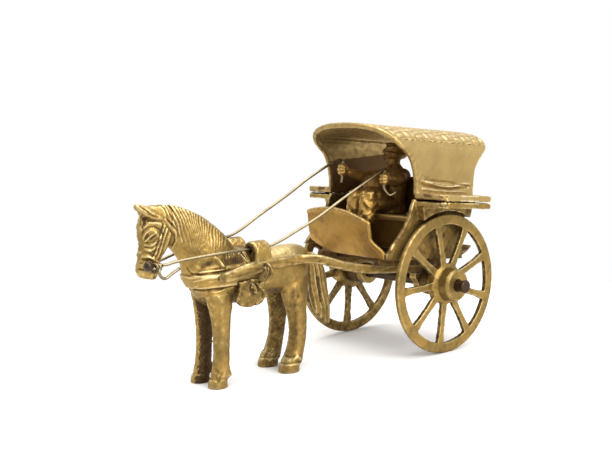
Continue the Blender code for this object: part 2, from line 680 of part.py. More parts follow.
def make_bench_riser(material, parent):
    """The upright board that carries the middle of the bench."""
    reach = tub_inside - SEAT_GAP
    half = RISER_THICKNESS / 2
    low = floor_top + SEAT_GAP
    high = bench_bottom - SEAT_GAP
    outline = [(BACKREST_X - half, low), (BACKREST_X + half, low), (BACKREST_X + half, high),
               (BACKREST_X - half, high)]
    return finish(make_object("bench_riser", extrude_outline(outline, "Y", -reach, reach)), material, parent)


def make_backrest(material, parent):
    """The board between the two seats, with rounded upper corners."""
    reach = tub_inside - SEAT_GAP
    low = bench_top + SEAT_GAP
    corner = 3.0 * MM
    half = BACKREST_THICKNESS / 2
    top = low + BACKREST_HEIGHT
    right = arc_points((reach - corner, top - corner), corner, 0, 90, 4)
    left = arc_points((-reach + corner, top - corner), corner, 90, 180, 4)
    outline = [(reach, low)] + right + left + [(-reach, low)]
    rings = [[Vector((x, y, z)) for y, z in outline] for x in (BACKREST_X - half, BACKREST_X + half)]
    return finish(make_object("backrest", skin_rings(rings)), material, parent)


# Pieces of the hood

def hood_wall_rows():
    """Heights of the rows of points up a hood wall."""
    low = hood_bottom
    high = crease
    rows = 14
    return [low + (high - low) * i / rows for i in range(rows + 1)]


def make_hood_side(side, material, parent):
    """A hood wall with flared edges, the ledge at its foot and a bead above the ledge."""
    front = hood_front_curve()
    rear = hood_rear_curve()
    inner_top = ridge - ROOF_THICKNESS
    rings = []
    for z in hood_wall_rows():
        outer = arch_half_width(z, HOOD_HALF_WIDTH, ridge)
        inner = arch_half_width(z, HOOD_HALF_WIDTH - HOOD_WALL, inner_top)
        x_front = look_up(front, z)
        x_rear = look_up(rear, z)
        rings.append([Vector((x_front, side * outer, z)), Vector((x_rear, side * outer, z)),
                      Vector((x_rear, side * inner, z)), Vector((x_front, side * inner, z))])
    wall = skin_rings(rings)
    foot = HOOD_HALF_WIDTH - 0.6 * HOOD_WALL
    ledge = extrude_outline(ledge_outline(side, foot), "Z", hood_bottom, hood_ledge_top)
    bead = sweep(bead_path(side), [BEAD_HEIGHT / 2 * share for share in (0.5, 1, 1, 1, 1, 1, 1, 1, 0.5)], 8)
    panel = join_shapes("hood_side_" + dict(SIDES)[side], [wall, ledge, bead])
    cut_shapes(panel, rivet_holes(side))
    return finish(panel, material, parent)


def bead_path(side):
    """A wavy bead along the foot of a hood wall."""
    length = HOOD_FRONT - HOOD_REAR
    points = []
    for i in range(9):
        share = i / 8
        x = HOOD_FRONT - length * (0.04 + 0.92 * share)
        z = hood_ledge_top + 4.2 * MM + 0.9 * MM * math.cos(share * 2 * math.pi)
        points.append(Vector((x, side * HOOD_HALF_WIDTH, z)))
    return points


def make_roof(material, parent):
    """The arched roof, its front and rear edges following the flare of the hood's sides."""
    front = hood_front_curve()
    rear = hood_rear_curve()
    inner_top = ridge - ROOF_THICKNESS
    low = crease + SEAT_GAP
    outer_half = arch_half_width(low, HOOD_HALF_WIDTH, ridge)
    inner_half = arch_half_width(low, HOOD_HALF_WIDTH - HOOD_WALL, inner_top)
    steps = 26
    rings = []
    for i in range(steps + 1):
        share = math.sin(math.pi * (i / steps - 0.5))
        outer = (share * outer_half, arch_height(share * outer_half, HOOD_HALF_WIDTH, ridge))
        inner = (share * inner_half, arch_height(share * inner_half, HOOD_HALF_WIDTH - HOOD_WALL, inner_top))
        x_front = look_up(front, outer[1])
        x_rear = look_up(rear, outer[1])
        rings.append([Vector((x_front, *outer)), Vector((x_rear, *outer)),
                      Vector((x_rear, *inner)), Vector((x_front, *inner))])
    return finish(make_object("roof", skin_rings(rings)), material, parent)


def make_ledge_rivet(side, x, material, parent):
    """One plain rivet that joins a pair of ledges, with the collar that spaces them."""
    centre = Vector((x, side * RIVET_Y, 0))
    gap_low = ledge_top + SEAT_GAP
    gap_high = hood_bottom - SEAT_GAP
    stations = [(ledge_bottom, RIVET_RADIUS), (gap_low, RIVET_RADIUS), (gap_low, RIVET_COLLAR_RADIUS),
                (gap_high, RIVET_COLLAR_RADIUS), (gap_high, RIVET_RADIUS), (hood_ledge_top, RIVET_RADIUS)]
    shape = skin_rings([ellipse_ring(centre + Vector((0, 0, z)), Vector((1, 0, 0)), Vector((0, 1, 0)), r, r, 12)
                        for z, r in stations])
    place = "front" if x > 0 else "rear"
    return finish(make_object("ledge_rivet_" + place + "_" + dict(SIDES)[side], shape), material, parent)


# The horse, in its own frame: x from the pin, z from the ground

def horse_trunk(growth=0.0):
    """Barrel, hips and shoulders as upright slices: x, middle z, half height, half width."""
    slices = [(-29.9, 44.0, 2.6, 2.6), (-28.2, 43.0, 6.2, 5.2), (-24.0, 41.0, 9.6, 7.6), (-17.5, 39.8, 11.0, 8.5),
              (-9.0, 39.7, 10.3, 8.0), (-1.0, 40.3, 10.2, 8.5), (6.0, 41.8, 11.1, 8.6), (13.0, 43.0, 12.0, 8.3),
              (19.0, 42.8, 11.8, 7.8), (23.5, 43.8, 9.6, 6.8), (26.6, 45.6, 6.8, 5.3), (28.7, 47.0, 4.2, 3.8),
              (29.8, 47.4, 1.8, 1.9)]
    return skin_rings([ellipse_ring(mm(x, 0, z), Vector((0, 1, 0)), Vector((0, 0, 1)), width * MM + growth,
                                    height * MM + growth, 18, 2.2) for x, z, height, width in slices])


def horse_neck(growth=0.0):
    """The crested neck as slices from crest to throat: crest x, z, throat x, z, half width."""
    slices = [(6.0, 52.0, 25.0, 38.5, 7.6), (11.8, 58.9, 29.5, 45.5, 6.6), (16.2, 62.6, 30.8, 48.6, 5.8),
              (21.3, 66.3, 32.6, 51.9, 5.2), (28.5, 69.5, 35.2, 55.0, 4.7), (35.0, 71.4, 37.5, 58.0, 4.4)]
    rings = []
    for crest_x, crest_z, throat_x, throat_z, width in slices:
        crest = mm(crest_x, 0, crest_z)
        throat = mm(throat_x, 0, throat_z)
        along = (crest - throat)
        rings.append(ellipse_ring((crest + throat) / 2, Vector((0, 1, 0)), along.normalized(),
                                  width * MM + growth, along.length / 2 + growth, 18))
    return skin_rings(rings)


def horse_head():
    """The head as slices from muzzle to poll: jaw x, z, face x, z, half width."""
    slices = [(43.0, 45.1, 47.6, 46.3, 1.7), (41.5, 45.4, 49.2, 47.4, 2.9), (40.9, 47.6, 49.6, 49.4, 3.4),
              (40.6, 50.8, 48.9, 52.3, 3.4), (38.8, 53.8, 48.3, 55.6, 3.8), (35.4, 57.4, 48.3, 59.6, 4.6),
              (33.6, 61.6, 48.6, 63.6, 4.9), (33.2, 65.8, 48.2, 67.2, 4.7), (34.2, 69.2, 46.8, 69.9, 4.0),
              (36.6, 71.4, 43.8, 71.6, 2.6)]
    rings = []
    for jaw_x, jaw_z, face_x, face_z, width in slices:
        jaw = mm(jaw_x, 0, jaw_z)
        face = mm(face_x, 0, face_z)
        along = face - jaw
        rings.append(ellipse_ring((jaw + face) / 2, along.normalized(), Vector((0, 1, 0)), along.length / 2,
                                  width * MM, 16))
    return skin_rings(rings)


def horse_fore_leg(side):
    """A fore leg as level slices: x, y, z, half along X, half along Y. Its sole is flat."""
    slices = [(19.8, 6.0, 0.0, 3.9, 3.6), (19.7, 6.0, 3.0, 3.6, 3.3), (18.7, 6.0, 3.9, 3.9, 3.5),
              (18.6, 6.0, 5.6, 3.8, 3.4), (18.4, 6.0, 8.0, 3.2, 3.0), (18.0, 6.0, 11.0, 2.9, 2.8),
              (17.8, 5.9, 16.0, 2.8, 2.8), (17.6, 5.8, 21.0, 3.1, 2.9), (17.2, 5.6, 26.5, 3.6, 3.1),
              (17.0, 5.2, 31.0, 4.8, 3.3), (17.2, 4.6, 37.0, 6.0, 3.2)]
    return limb([(mm(x, side * y, z), half_x * MM, half_y * MM) for x, y, z, half_x, half_y in slices], 12)


def horse_hind_leg(side):
    """A hind leg as level slices, with its hock drawn back. Its sole is flat."""
    slices = [(-14.7, 7.0, 0.0, 4.5, 4.0), (-15.0, 7.0, 2.2, 4.4, 3.9), (-15.9, 7.0, 3.5, 4.9, 4.1),
              (-16.8, 7.0, 5.6, 4.4, 3.7), (-17.8, 7.0, 8.4, 3.8, 3.3), (-18.8, 6.9, 12.0, 3.6, 3.1),
              (-19.6, 6.8, 16.5, 3.6, 3.1), (-19.9, 6.5, 21.0, 4.0, 3.2), (-19.6, 6.0, 26.0, 4.6, 3.4),
              (-20.0, 5.3, 31.5, 6.2, 3.8), (-20.6, 4.4, 39.0, 7.6, 3.6)]
    return limb([(mm(x, side * y, z), half_x * MM, half_y * MM) for x, y, z, half_x, half_y in slices], 12)


def horse_ear(side):
    """An ear laid forward over the brow, the right one shorter."""
    reach = 1.0 if side > 0 else 0.6
    base = mm(41.0, side * 2.9, 66.6)
    offsets = [(0, 0), (3.6, 2.2), (6.8, 4.2), (9.2, 5.4), (10.0, 5.7)]
    path = [base + mm(x * reach, -side * 0.1 * x, z * reach) for x, z in offsets]
    return sweep(path, [2.2 * MM, 2.1 * MM, 1.7 * MM, 1.2 * MM, 0.7 * MM], 8)


def horse_tail():
    """The tail, hanging down and back."""
    path = [mm(-26.0, 0, 45.0), mm(-30.6, 0, 45.0), mm(-35.0, 0, 42.4), mm(-38.0, 0, 37.0), mm(-39.6, 0, 30.5),
            mm(-40.8, 0, 23.5), mm(-42.6, 0, 15.6)]
    return sweep(path, [1.7 * MM, 2.1 * MM, 1.9 * MM, 1.8 * MM, 2.0 * MM, 1.9 * MM, 0.9 * MM], 10)


def breast_strap():
    """The raised strap round the chest, from flank to flank."""
    steps = 20
    rear = -1.0 * MM
    front = 29.6 * MM
    width = 8.1 * MM
    rings = []
    for i in range(steps + 1):
        angle = math.pi * i / steps
        out = Vector((math.sin(angle), math.cos(angle), 0))
        reach = Vector((rear + (front - rear) * math.sin(angle) ** 0.62, width * math.cos(angle), STRAP_Z))
        low = Vector((0, 0, -STRAP_HEIGHT / 2))
        ring = [reach + low, reach + out * STRAP_THICKNESS + low * 0.8, reach + out * STRAP_THICKNESS - low * 0.8,
                reach - low, reach - out * 1.6 * MM - low, reach - out * 1.6 * MM + low]
        rings.append(ring)
    return skin_rings(rings)


def girth_flap(side):
    """The rounded flap of the girth, standing a little proud of the barrel."""
    middle = mm(6.0, 0, 36.0)
    outline = [(13.0, 41.4), (12.9, 36.6), (12.4, 33.4), (11.0, 31.4), (8.6, 30.3), (5.6, 30.0), (2.6, 30.5),
               (0.2, 31.8), (-1.2, 34.2), (-1.6, 38.0), (-1.4, 41.4)]
    rings = []
    for y, share in ((4.6, 0.9), (8.9, 1.0), (9.5, 0.95)):
        rings.append([middle + (mm(x, 0, z) - middle) * share + mm(0, side * y, 0) for x, z in outline])
    return skin_rings(rings)


def bit_bore():
    """Cutter for the bit's hole, which bends with the bit."""
    radius = BIT_RADIUS + PIN_CLEARANCE
    places = [bit_point(1, 10.0 * MM), bit_point(1, 0.0), bit_point(-1, 10.0 * MM)]
    return skin_rings([ellipse_ring(place, Vector((1, 0, 0)), Vector((0, 0, 1)), radius, radius, 12)
                       for place in places])


def make_horse(material, parent):
    """The horse casting, drilled across for the shaft pin and the bit."""
    shapes = [horse_trunk(), horse_neck(), horse_head(), horse_tail(), breast_strap()]
    for side, _ in SIDES:
        shapes += [horse_fore_leg(side), horse_hind_leg(side), horse_ear(side), girth_flap(side)]
    horse = join_shapes("horse", shapes)
    across = Vector((0, 1, 0))
    cut_shapes(horse, [cylinder(Vector((0, 0, PIN_HEIGHT)), across, PIN_RADIUS + PIN_CLEARANCE, 40 * MM, 12),
                       bit_bore()])
    return finish(horse, material, parent, 50.0)


def make_saddle(material, parent):
    """The saddle pad over the horse's back, with a thick rein ring on each side."""
    steps = 12
    half_length = SADDLE_LENGTH / 2
    rise = TERRET_Z + SADDLE_CROWN - SADDLE_BASE
    rings = []
    for i in range(steps + 1):
        angle = math.pi * (0.06 + 0.88 * i / steps)
        out = Vector((0, math.cos(angle), math.sin(angle)))
        outer = Vector((SADDLE_X, SADDLE_HALF_WIDTH * math.cos(angle), SADDLE_BASE + rise * math.sin(angle) ** 0.9))
        inner = outer - out * 2.6 * SADDLE_THICKNESS
        ahead = Vector((half_length, 0, 0))
        rings.append([inner - ahead, outer - ahead, outer + ahead, inner + ahead])
    pad = skin_rings([ring for ring in rings if ring[0].z > PIN_HEIGHT + SHAFT_DEPTH / 2])
    shapes = [pad]
    for side, _ in SIDES:
        shapes.append(terret(side))
    saddle = join_shapes("harness_saddle", shapes)
    cutters = [cylinder(Vector((SADDLE_X, side * TERRET_Y, TERRET_Z)), Vector((1, 0, 0)), TERRET_HOLE_RADIUS,
                        4 * SADDLE_LENGTH, 14) for side, _ in SIDES]
    cut_shapes(saddle, cutters + [horse_trunk(SEAT_GAP), horse_neck(SEAT_GAP)])
    return finish(saddle, material, parent)


def terret(side):
    """One thick rein ring, its edges rounded, with its hole along X."""
    centre = Vector((SADDLE_X, side * TERRET_Y, TERRET_Z))
    half = SADDLE_LENGTH / 2
    edge = 0.6 * MM
    stations = [(-half, TERRET_RADIUS - edge), (-half + edge, TERRET_RADIUS), (half - edge, TERRET_RADIUS),
                (half, TERRET_RADIUS - edge)]
    return skin_rings([ellipse_ring(centre + Vector((x, 0, 0)), Vector((0, 1, 0)), Vector((0, 0, 1)), r, r, 16)
                       for x, r in stations])


def bit_point(side, distance):
    """A point on the bit's axis, which lies a little askew."""
    return Vector((BIT_X - max(0.0, -side) * BIT_SKEW * distance, side * distance, BIT_Z))


def make_bit(material, parent):
    """A steel pin through the mouth with a ball on its left end and a smaller knob on its right."""
    ends = [bit_point(side, reach) for (side, _), reach in zip(SIDES, BIT_REACHES)]
    rod = skin_rings([ellipse_ring(place, Vector((1, 0, 0)), Vector((0, 0, 1)), BIT_RADIUS, BIT_RADIUS, 12)
                      for place in (ends[0], bit_point(1, 0.0), ends[1])])
    knobs = [ball(place, (radius,) * 3, 6, 10) for place, radius in zip(ends, BIT_KNOB_RADII)]
    return finish(join_shapes("bit", [rod] + knobs), material, parent)


def make_shaft_pin(material, parent):
    """One long rivet through the left shaft, the horse and the right shaft."""
    half = SHAFT_NARROW + SHAFT_WIDTH / 2 + SEAT_GAP
    shape = rivet_profile(PIN_RADIUS, PIN_HEAD_RADIUS, PIN_HEAD_HEIGHT, half, 12)
    bmesh.ops.translate(shape, verts=shape.verts, vec=Vector((0, 0, PIN_HEIGHT)))
    return finish(make_object("shaft_pin", shape), material, parent)


# The driver, in the cart's frame

def driver_torso(seat):
    """Robe and chest, from the lap to the neck, as level slices above the seat."""
    slices = [(4.6, 0.0, 6.6, 7.0), (4.2, 3.0, 6.0, 6.6), (3.6, 7.5, 4.8, 5.8), (3.4, 12.5, 4.5, 6.2),
              (3.2, 16.5, 4.2, 6.4), (3.2, 18.9, 3.4, 5.4), (3.4, 20.4, 2.7, 3.8), (3.8, 21.6, 2.4, 2.7),
              (4.1, 23.4, 2.2, 2.3)]
    return limb([(seat + mm(x, 0, z), half_x * MM, half_y * MM) for x, z, half_x, half_y in slices], 14)


def driver_head(seat):
    """A plain head with a wound turban over it."""
    face = ball(seat + mm(4.9, 0, 23.6), (3.4 * MM, 3.1 * MM, 4.0 * MM), 8, 12)
    turban_slices = [(4.4, 24.0, 3.9, 3.7), (4.3, 25.2, 4.7, 4.4), (4.2, 27.2, 5.0, 4.6), (4.0, 29.2, 4.4, 4.1),
                     (3.8, 30.6, 3.0, 2.8), (3.7, 31.2, 1.4, 1.3)]
    turban = limb([(seat + mm(x, 0, z), half_x * MM, half_y * MM) for x, z, half_x, half_y in turban_slices], 14)
    return [face, turban]


def driver_arm(seat, side, hand):
    """A sleeve from the shoulder to the wrist, and the closed fist."""
    shoulder = seat + mm(3.6, side * 5.2, 17.0)
    fist = seat + hand
    elbow = shoulder.lerp(fist, 0.5) + mm(0, side * 1.2, -2.2)
    sleeve = sweep([shoulder, shoulder.lerp(elbow, 0.5) + mm(0, side * 0.6, -0.3), elbow,
                    elbow.lerp(fist, 0.55), fist], [2.7 * MM, 2.6 * MM, 2.3 * MM, 1.9 * MM, 1.5 * MM], 10)
    return [sleeve, ball(fist, (FIST_RADIUS * 1.05, FIST_RADIUS * 0.95, FIST_HEIGHT), 6, 10)]


def driver_leg(seat, side):
    """A thigh along the bench and a shin down to the floor."""
    drop = bench_top - floor_top
    knee = seat + Vector((21.0 * MM, KNEE_Y[0 if side > 0 else 1], 4.2 * MM))
    ankle = seat + Vector((23.6 * MM, knee.y, 2.6 * MM - drop))
    hip = seat + mm(5.0, side * 3.2, 3.4)
    thigh = [hip, hip.lerp(knee, 0.45) + mm(0, 0, 0.3), knee]
    path = thigh + [knee + mm(2.3, 0, -3.0), knee.lerp(ankle, 0.6) + mm(1.2, 0, 0), ankle]
    shin = sweep(path, [3.1 * MM, 3.1 * MM, 2.9 * MM, 2.6 * MM, 2.2 * MM, 1.7 * MM], 10)
    foot_level = seat.z - drop + SEAT_GAP
    centre = Vector((ankle.x + 1.4 * MM, ankle.y, foot_level))
    foot = limb([(centre, 3.0 * MM, 1.6 * MM), (centre + mm(0, 0, 1.2), 3.1 * MM, 1.7 * MM),
                 (centre + mm(-0.8, 0, 2.4), 1.9 * MM, 1.4 * MM)], 10)
    return [shin, foot]


def make_driver(material, parent):
    """The seated driver, one casting, with a hole through each fist for a rein."""
    seat = Vector((0, 0, bench_top + SEAT_GAP))
    shapes = [driver_torso(seat)] + driver_head(seat)
    for side, hand in ((1, HAND_LEFT), (-1, HAND_RIGHT)):
        shapes += driver_arm(seat, side, hand) + driver_leg(seat, side)
    driver = join_shapes("driver", shapes)
    holes = []
    for hand in (HAND_LEFT, HAND_RIGHT):
        holes.append(cylinder(seat + hand, Vector((0, 0, 1)), REIN_RADIUS + REIN_CLEARANCE, 5 * FIST_RADIUS, 12))
    cut_shapes(driver, holes)
    return finish(driver, material, parent, 50.0)


# The reins, in the model's frame

def rein_route(side, hand_world, upright):
    """Points of one stiff wire: a hook on the bit, the rein ring, the fist and a curled tail."""
    end = 0 if side > 0 else 1
    bit = Vector((pin_x, 0, 0)) + bit_point(side, BIT_REACHES[end] - BIT_KNOB_RADII[end] - REIN_RADIUS)
    hook = BIT_RADIUS + REIN_RADIUS + 1.5 * REIN_CLEARANCE
    points = []
    for degrees in range(-80, 161, 40):
        angle = math.radians(degrees)
        points.append(bit + Vector((hook * math.cos(angle), 0, -hook * math.sin(angle))))
    points.reverse()
    ring = Vector((pin_x + SADDLE_X, side * TERRET_Y, TERRET_Z))
    half = SADDLE_LENGTH / 2
    points.append(bit + mm(-4.6, side * 1.0, 1.0))
    if side > 0:
        points.append(Vector((pin_x, 0, 0)) + mm(31.0, 7.2, 51.2))
        points.append(Vector((pin_x, 0, 0)) + mm(17.0, 9.0, 52.2))
    else:
        ring.z += TERRET_RADIUS + REIN_RADIUS + 2 * SEAT_GAP
        points.append(Vector((pin_x, 0, 0)) + mm(31.0, -7.4, 52.9))
        points.append(Vector((pin_x, 0, 0)) + mm(17.0, -8.8, 55.9))
    points.append(ring + Vector((half, 0, 0)))
    points.append(ring - Vector((half, 0, -0.2 * MM)))
    top = hand_world + upright * (FIST_HEIGHT + 1.0 * MM)
    for share, lift in REIN_BOW[end]:
        points.append(ring.lerp(top, share) + mm(0, 0, lift))
    points.append(top + (ring - top).normalized() * 2.2 * MM + upright * 1.3 * MM)
    points.append(top + upright * 0.4 * MM)
    points.append(hand_world)
    below = hand_world - upright * (FIST_HEIGHT + 0.9 * MM)
    points.append(below)
    points.append(below + mm(-1.3, 0, -2.6))
    points.append(below + mm(-3.6, 0, -3.9))
    points.append(below + mm(-7.0, 0, -2.0))
    return points


def make_rein(side, cart_matrix, material, parent):
    """One rein as a round wire on a smooth curve through its route."""
    seat = Vector((0, 0, bench_top + SEAT_GAP))
    hand = cart_matrix @ (seat + (HAND_LEFT if side > 0 else HAND_RIGHT))
    upright = (cart_matrix.to_3x3() @ Vector((0, 0, 1))).normalized()
    route = smooth_steps([tuple(point) for point in rein_route(side, hand, upright)], 3)
    curve = bpy.data.curves.new("rein", 'CURVE')
    curve.dimensions = '3D'
    curve.bevel_depth = REIN_RADIUS
    curve.bevel_resolution = 2
    curve.use_fill_caps = True
    wire = curve.splines.new('POLY')
    wire.points.add(len(route) - 1)
    for point, place in zip(wire.points, route):
        point.co = (*place, 1.0)
    curve.materials.append(material)
    rein = bpy.data.objects.new("rein_" + dict(SIDES)[side], curve)
    bpy.context.scene.collection.objects.link(rein)
    rein.parent = parent
    return rein


def centre_model(root):
    """Move the whole model so that its bounding box stands centred on the origin."""
    bpy.context.view_layer.update()
    low = [math.inf] * 3
    high = [-math.inf] * 3
    for thing in bpy.context.scene.objects:
        if thing.type != 'MESH':
            continue
        for vertex in thing.data.vertices:
            place = thing.matrix_world @ vertex.co
            low = [min(a, b) for a, b in zip(low, place)]
            high = [max(a, b) for a, b in zip(high, place)]
    root.location = (-(low[0] + high[0]) / 2, -(low[1] + high[1]) / 2, 0)
    bpy.context.view_layer.update()
    print("size in mm:", [round((b - a) / MM, 2) for a, b in zip(low, high)], "lowest", round(low[2] / MM, 3))


def main():
    for thing in list(bpy.data.objects):
        bpy.data.objects.remove(thing)

    brass = make_material("satin_brass", (0.62, 0.46, 0.20), 0.34)
    bright = make_material("bright_brass_wire", (0.78, 0.66, 0.38), 0.24)
    worn = make_material("aged_brass", (0.45, 0.32, 0.14), 0.45)
    steel = make_material("dark_steel", (0.12, 0.09, 0.08), 0.5)

    root = make_empty("model", (0, 0, 0))
    cart = make_empty("cart", (0, 0, WHEEL_RADIUS), root)
    cart.rotation_euler = (0, -cart_lean, 0)
    stable = make_empty("horse_place", (pin_x, 0, 0), root)
    cart_matrix = Matrix.Translation((0, 0, WHEEL_RADIUS)) @ Matrix.Rotation(-cart_lean, 4, 'Y')

    make_axle(steel, cart)
    for side, name in SIDES:
        hub = make_empty("wheel_place_" + name, (0, side * wheel_middle, WHEEL_RADIUS), root)
        make_wheel(side, brass, hub)
        make_axle_collar(side, worn, cart)
        make_shaft(side, brass, cart)
        make_hanger(side, worn, cart)
        make_side_panel(side, brass, cart)
        make_hood_side(side, brass, cart)
        make_rein(side, cart_matrix, bright, root)
        for x in RIVET_X:
            make_ledge_rivet(side, x, brass, cart)
    make_crossbar("front_crossbar", FRONT_CROSSBAR_X, worn, cart)
    make_crossbar("rear_crossbar", REAR_CROSSBAR_X, worn, cart)
    make_floor(worn, cart)
    make_dash(brass, cart)
    make_bench(worn, cart)
    make_bench_riser(worn, cart)
    make_backrest(worn, cart)
    make_roof(brass, cart)
    make_driver(worn, cart)
    make_horse(brass, stable)
    make_saddle(brass, stable)
    make_bit(steel, stable)
    make_shaft_pin(steel, stable)
    centre_model(root)
    print("cart lean in degrees:", round(math.degrees(cart_lean), 3))


main()
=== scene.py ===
import functools
import json
import math

import bmesh
import bpy
import numpy as np
from mathutils import Matrix, Vector


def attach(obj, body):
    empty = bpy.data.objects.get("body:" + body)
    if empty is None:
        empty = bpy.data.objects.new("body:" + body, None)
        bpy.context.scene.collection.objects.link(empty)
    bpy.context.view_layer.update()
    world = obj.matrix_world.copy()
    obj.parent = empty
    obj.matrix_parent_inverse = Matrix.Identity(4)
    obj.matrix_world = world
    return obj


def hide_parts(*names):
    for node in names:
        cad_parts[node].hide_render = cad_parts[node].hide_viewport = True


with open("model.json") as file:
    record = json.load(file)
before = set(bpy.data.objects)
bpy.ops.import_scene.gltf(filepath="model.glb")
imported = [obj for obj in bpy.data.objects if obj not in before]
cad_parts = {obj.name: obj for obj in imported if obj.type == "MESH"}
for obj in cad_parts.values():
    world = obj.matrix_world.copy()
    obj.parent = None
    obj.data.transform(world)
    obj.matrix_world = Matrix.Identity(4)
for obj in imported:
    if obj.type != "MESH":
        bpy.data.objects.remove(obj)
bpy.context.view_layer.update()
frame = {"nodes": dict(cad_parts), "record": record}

nodes = frame["nodes"]
mm = 0.001
horseX = 33.521          # where the horse's own zero stands, in mm
axleX, axleZ = (frame["record"]["behaviour"]["joints"][0]["pos_m"][axis] / mm for axis in (0, 2))
noseUp = 5.257           # how far the cart is tilted, in degrees
cartPlace = Matrix.Translation((axleX, 0.0, axleZ)) @ Matrix.Rotation(math.radians(-noseUp), 4, 'Y')


# Tools for node trees

def addNode(tree, kind, inputs=None, **settings):
    node = tree.nodes.new(kind)
    for key, value in settings.items():
        setattr(node, key, value)
    for key, value in (inputs or {}).items():
        if isinstance(value, bpy.types.NodeSocket):
            tree.links.new(value, node.inputs[key])
        else:
            node.inputs[key].default_value = value
    return node


def mathNode(tree, operation, *values, clamp=False):
    node = addNode(tree, "ShaderNodeMath", dict(enumerate(values)), operation=operation, use_clamp=clamp)
    return node.outputs[0]


def ramp(tree, value, low, high, newLow=0.0, newHigh=1.0):
    # smooth step of a value between low and high
    node = addNode(tree, "ShaderNodeMapRange", {"Value": value, "From Min": low, "From Max": high,
                                                "To Min": newLow, "To Max": newHigh})
    node.interpolation_type = 'SMOOTHSTEP'
    return node.outputs["Result"]


def mixColour(tree, share, first, second):
    return addNode(tree, "ShaderNodeMix", {0: share, 6: first, 7: second}, data_type='RGBA').outputs[2]


def newGroup(name, inputs, outputs):
    group = bpy.data.node_groups.new(name, 'ShaderNodeTree')
    for label, kind, value in inputs:
        socket = group.interface.new_socket(label, in_out='INPUT', socket_type=kind)
        if value is not None:
            socket.default_value = value
    for label, kind in outputs:
        group.interface.new_socket(label, in_out='OUTPUT', socket_type=kind)
    return group, group.nodes.new("NodeGroupInput"), group.nodes.new("NodeGroupOutput")


def colour(values):
    return (*values, 1.0)


# Effects shared by the finishes

skin = {
    # noise scales, per metre
    "cloud": 95.0, "mottle": 420.0, "grain": 1700.0, "cells": 620.0,
    # pits: size limits of a cell, and the clouds that have them
    "pitSize": (0.03, 0.20), "pitPlaces": (0.50, 0.66), "pitDepth": 0.8, "mottleHeight": 0.7, "grainHeight": 0.3,
}
wearAndLight = {
    "loose": 0.34,           # how far the mottling frays the edges of the dirt and the painted shade
    # deep is patina in the hollows; sheltered paints shade where the ambient occlusion finds cover; never takes the
    # tarnish mark, which is tarnish and painted shade; bright takes rubbed ridges and the painted highlight
    "deep": (0.10, 0.62), "sheltered": (0.30, 0.95), "never": (0.12, 0.92), "bright": (-0.06, -0.50), "frayed": 2.6,
}


def makeCastSkin():
    # sand-cast unevenness: soft mottling, fine grain, a few pits and file marks
    group, given, made = newGroup("castSkin",
                                  [("Position", 'NodeSocketVector', None), ("Pits", 'NodeSocketFloat', 0.5)],
                                  [(label, 'NodeSocketFloat') for label in ("Mottle", "Cloud", "Pit", "Height")])

    def noise(scale, **more):
        inputs = {"Vector": given.outputs["Position"], "Scale": skin[scale], **more}
        return addNode(group, "ShaderNodeTexNoise", inputs).outputs["Fac"]

    cloud = noise("cloud", Detail=3.0)
    mottle = noise("mottle", Detail=5.0, Roughness=0.62)
    grain = noise("grain", Detail=2.0)
    cells = addNode(group, "ShaderNodeTexVoronoi", {"Vector": given.outputs["Position"], "Scale": skin["cells"],
                                                    "Randomness": 1.0})
    pit = ramp(group, cells.outputs["Distance"], *skin["pitSize"], 1.0, 0.0)
    pit = mathNode(group, 'MULTIPLY', pit, ramp(group, cloud, *skin["pitPlaces"]))
    pit = mathNode(group, 'MULTIPLY', pit, given.outputs["Pits"])
    height = mathNode(group, 'ADD', mathNode(group, 'MULTIPLY', mottle, skin["mottleHeight"]),
                      mathNode(group, 'MULTIPLY', grain, skin["grainHeight"]))
    height = mathNode(group, 'SUBTRACT', height, mathNode(group, 'MULTIPLY', pit, skin["pitDepth"]))
    for label, value in (("Mottle", mottle), ("Cloud", cloud), ("Pit", pit), ("Height", height)):
        group.links.new(value, made.inputs[label])
    return group


def makeWearAndPaintedLight():
    # where dark patina stays and painted shade falls, and where hands have rubbed the brass bright or a painted
    # highlight lies
    given = {"Hollow": 0.0, "Shelter": 0.0, "TarnishAndShade": 0.0, "Mottle": 0.5, "DirtAndShade": 1.0, "RubAndHighlight": 1.0}
    group, start, made = newGroup("wearAndPaintedLight", [(label, 'NodeSocketFloat', value) for label, value in given.items()],
                                  [(label, 'NodeSocketFloat') for label in ("PatinaAndShade", "Bright")])
    given = start.outputs
    loose = mathNode(group, 'MULTIPLY_ADD', given["Mottle"], wearAndLight["loose"], -wearAndLight["loose"] / 2)
    hollow = mathNode(group, 'ADD', given["Hollow"], loose)
    deep = ramp(group, hollow, *wearAndLight["deep"])
    # painted shade where the ambient occlusion finds the brass sheltered
    sheltered = ramp(group, mathNode(group, 'ADD', given["Shelter"], loose), *wearAndLight["sheltered"])
    # the tarnish mark: tarnish, and painted shade
    never = mathNode(group, 'MULTIPLY_ADD', loose, wearAndLight["frayed"], given["TarnishAndShade"])
    never = ramp(group, never, *wearAndLight["never"])
    dirtAndShade = mathNode(group, 'MAXIMUM', mathNode(group, 'MAXIMUM', deep, sheltered), never)
    dirtAndShade = mathNode(group, 'MULTIPLY', dirtAndShade, given["DirtAndShade"], clamp=True)
    bright = mathNode(group, 'MULTIPLY', ramp(group, hollow, *wearAndLight["bright"]), given["RubAndHighlight"], clamp=True)
    group.links.new(dirtAndShade, made.inputs["PatinaAndShade"])
    group.links.new(bright, made.inputs["Bright"])
    return group


castSkin = makeCastSkin()
wearAndPaintedLight = makeWearAndPaintedLight()

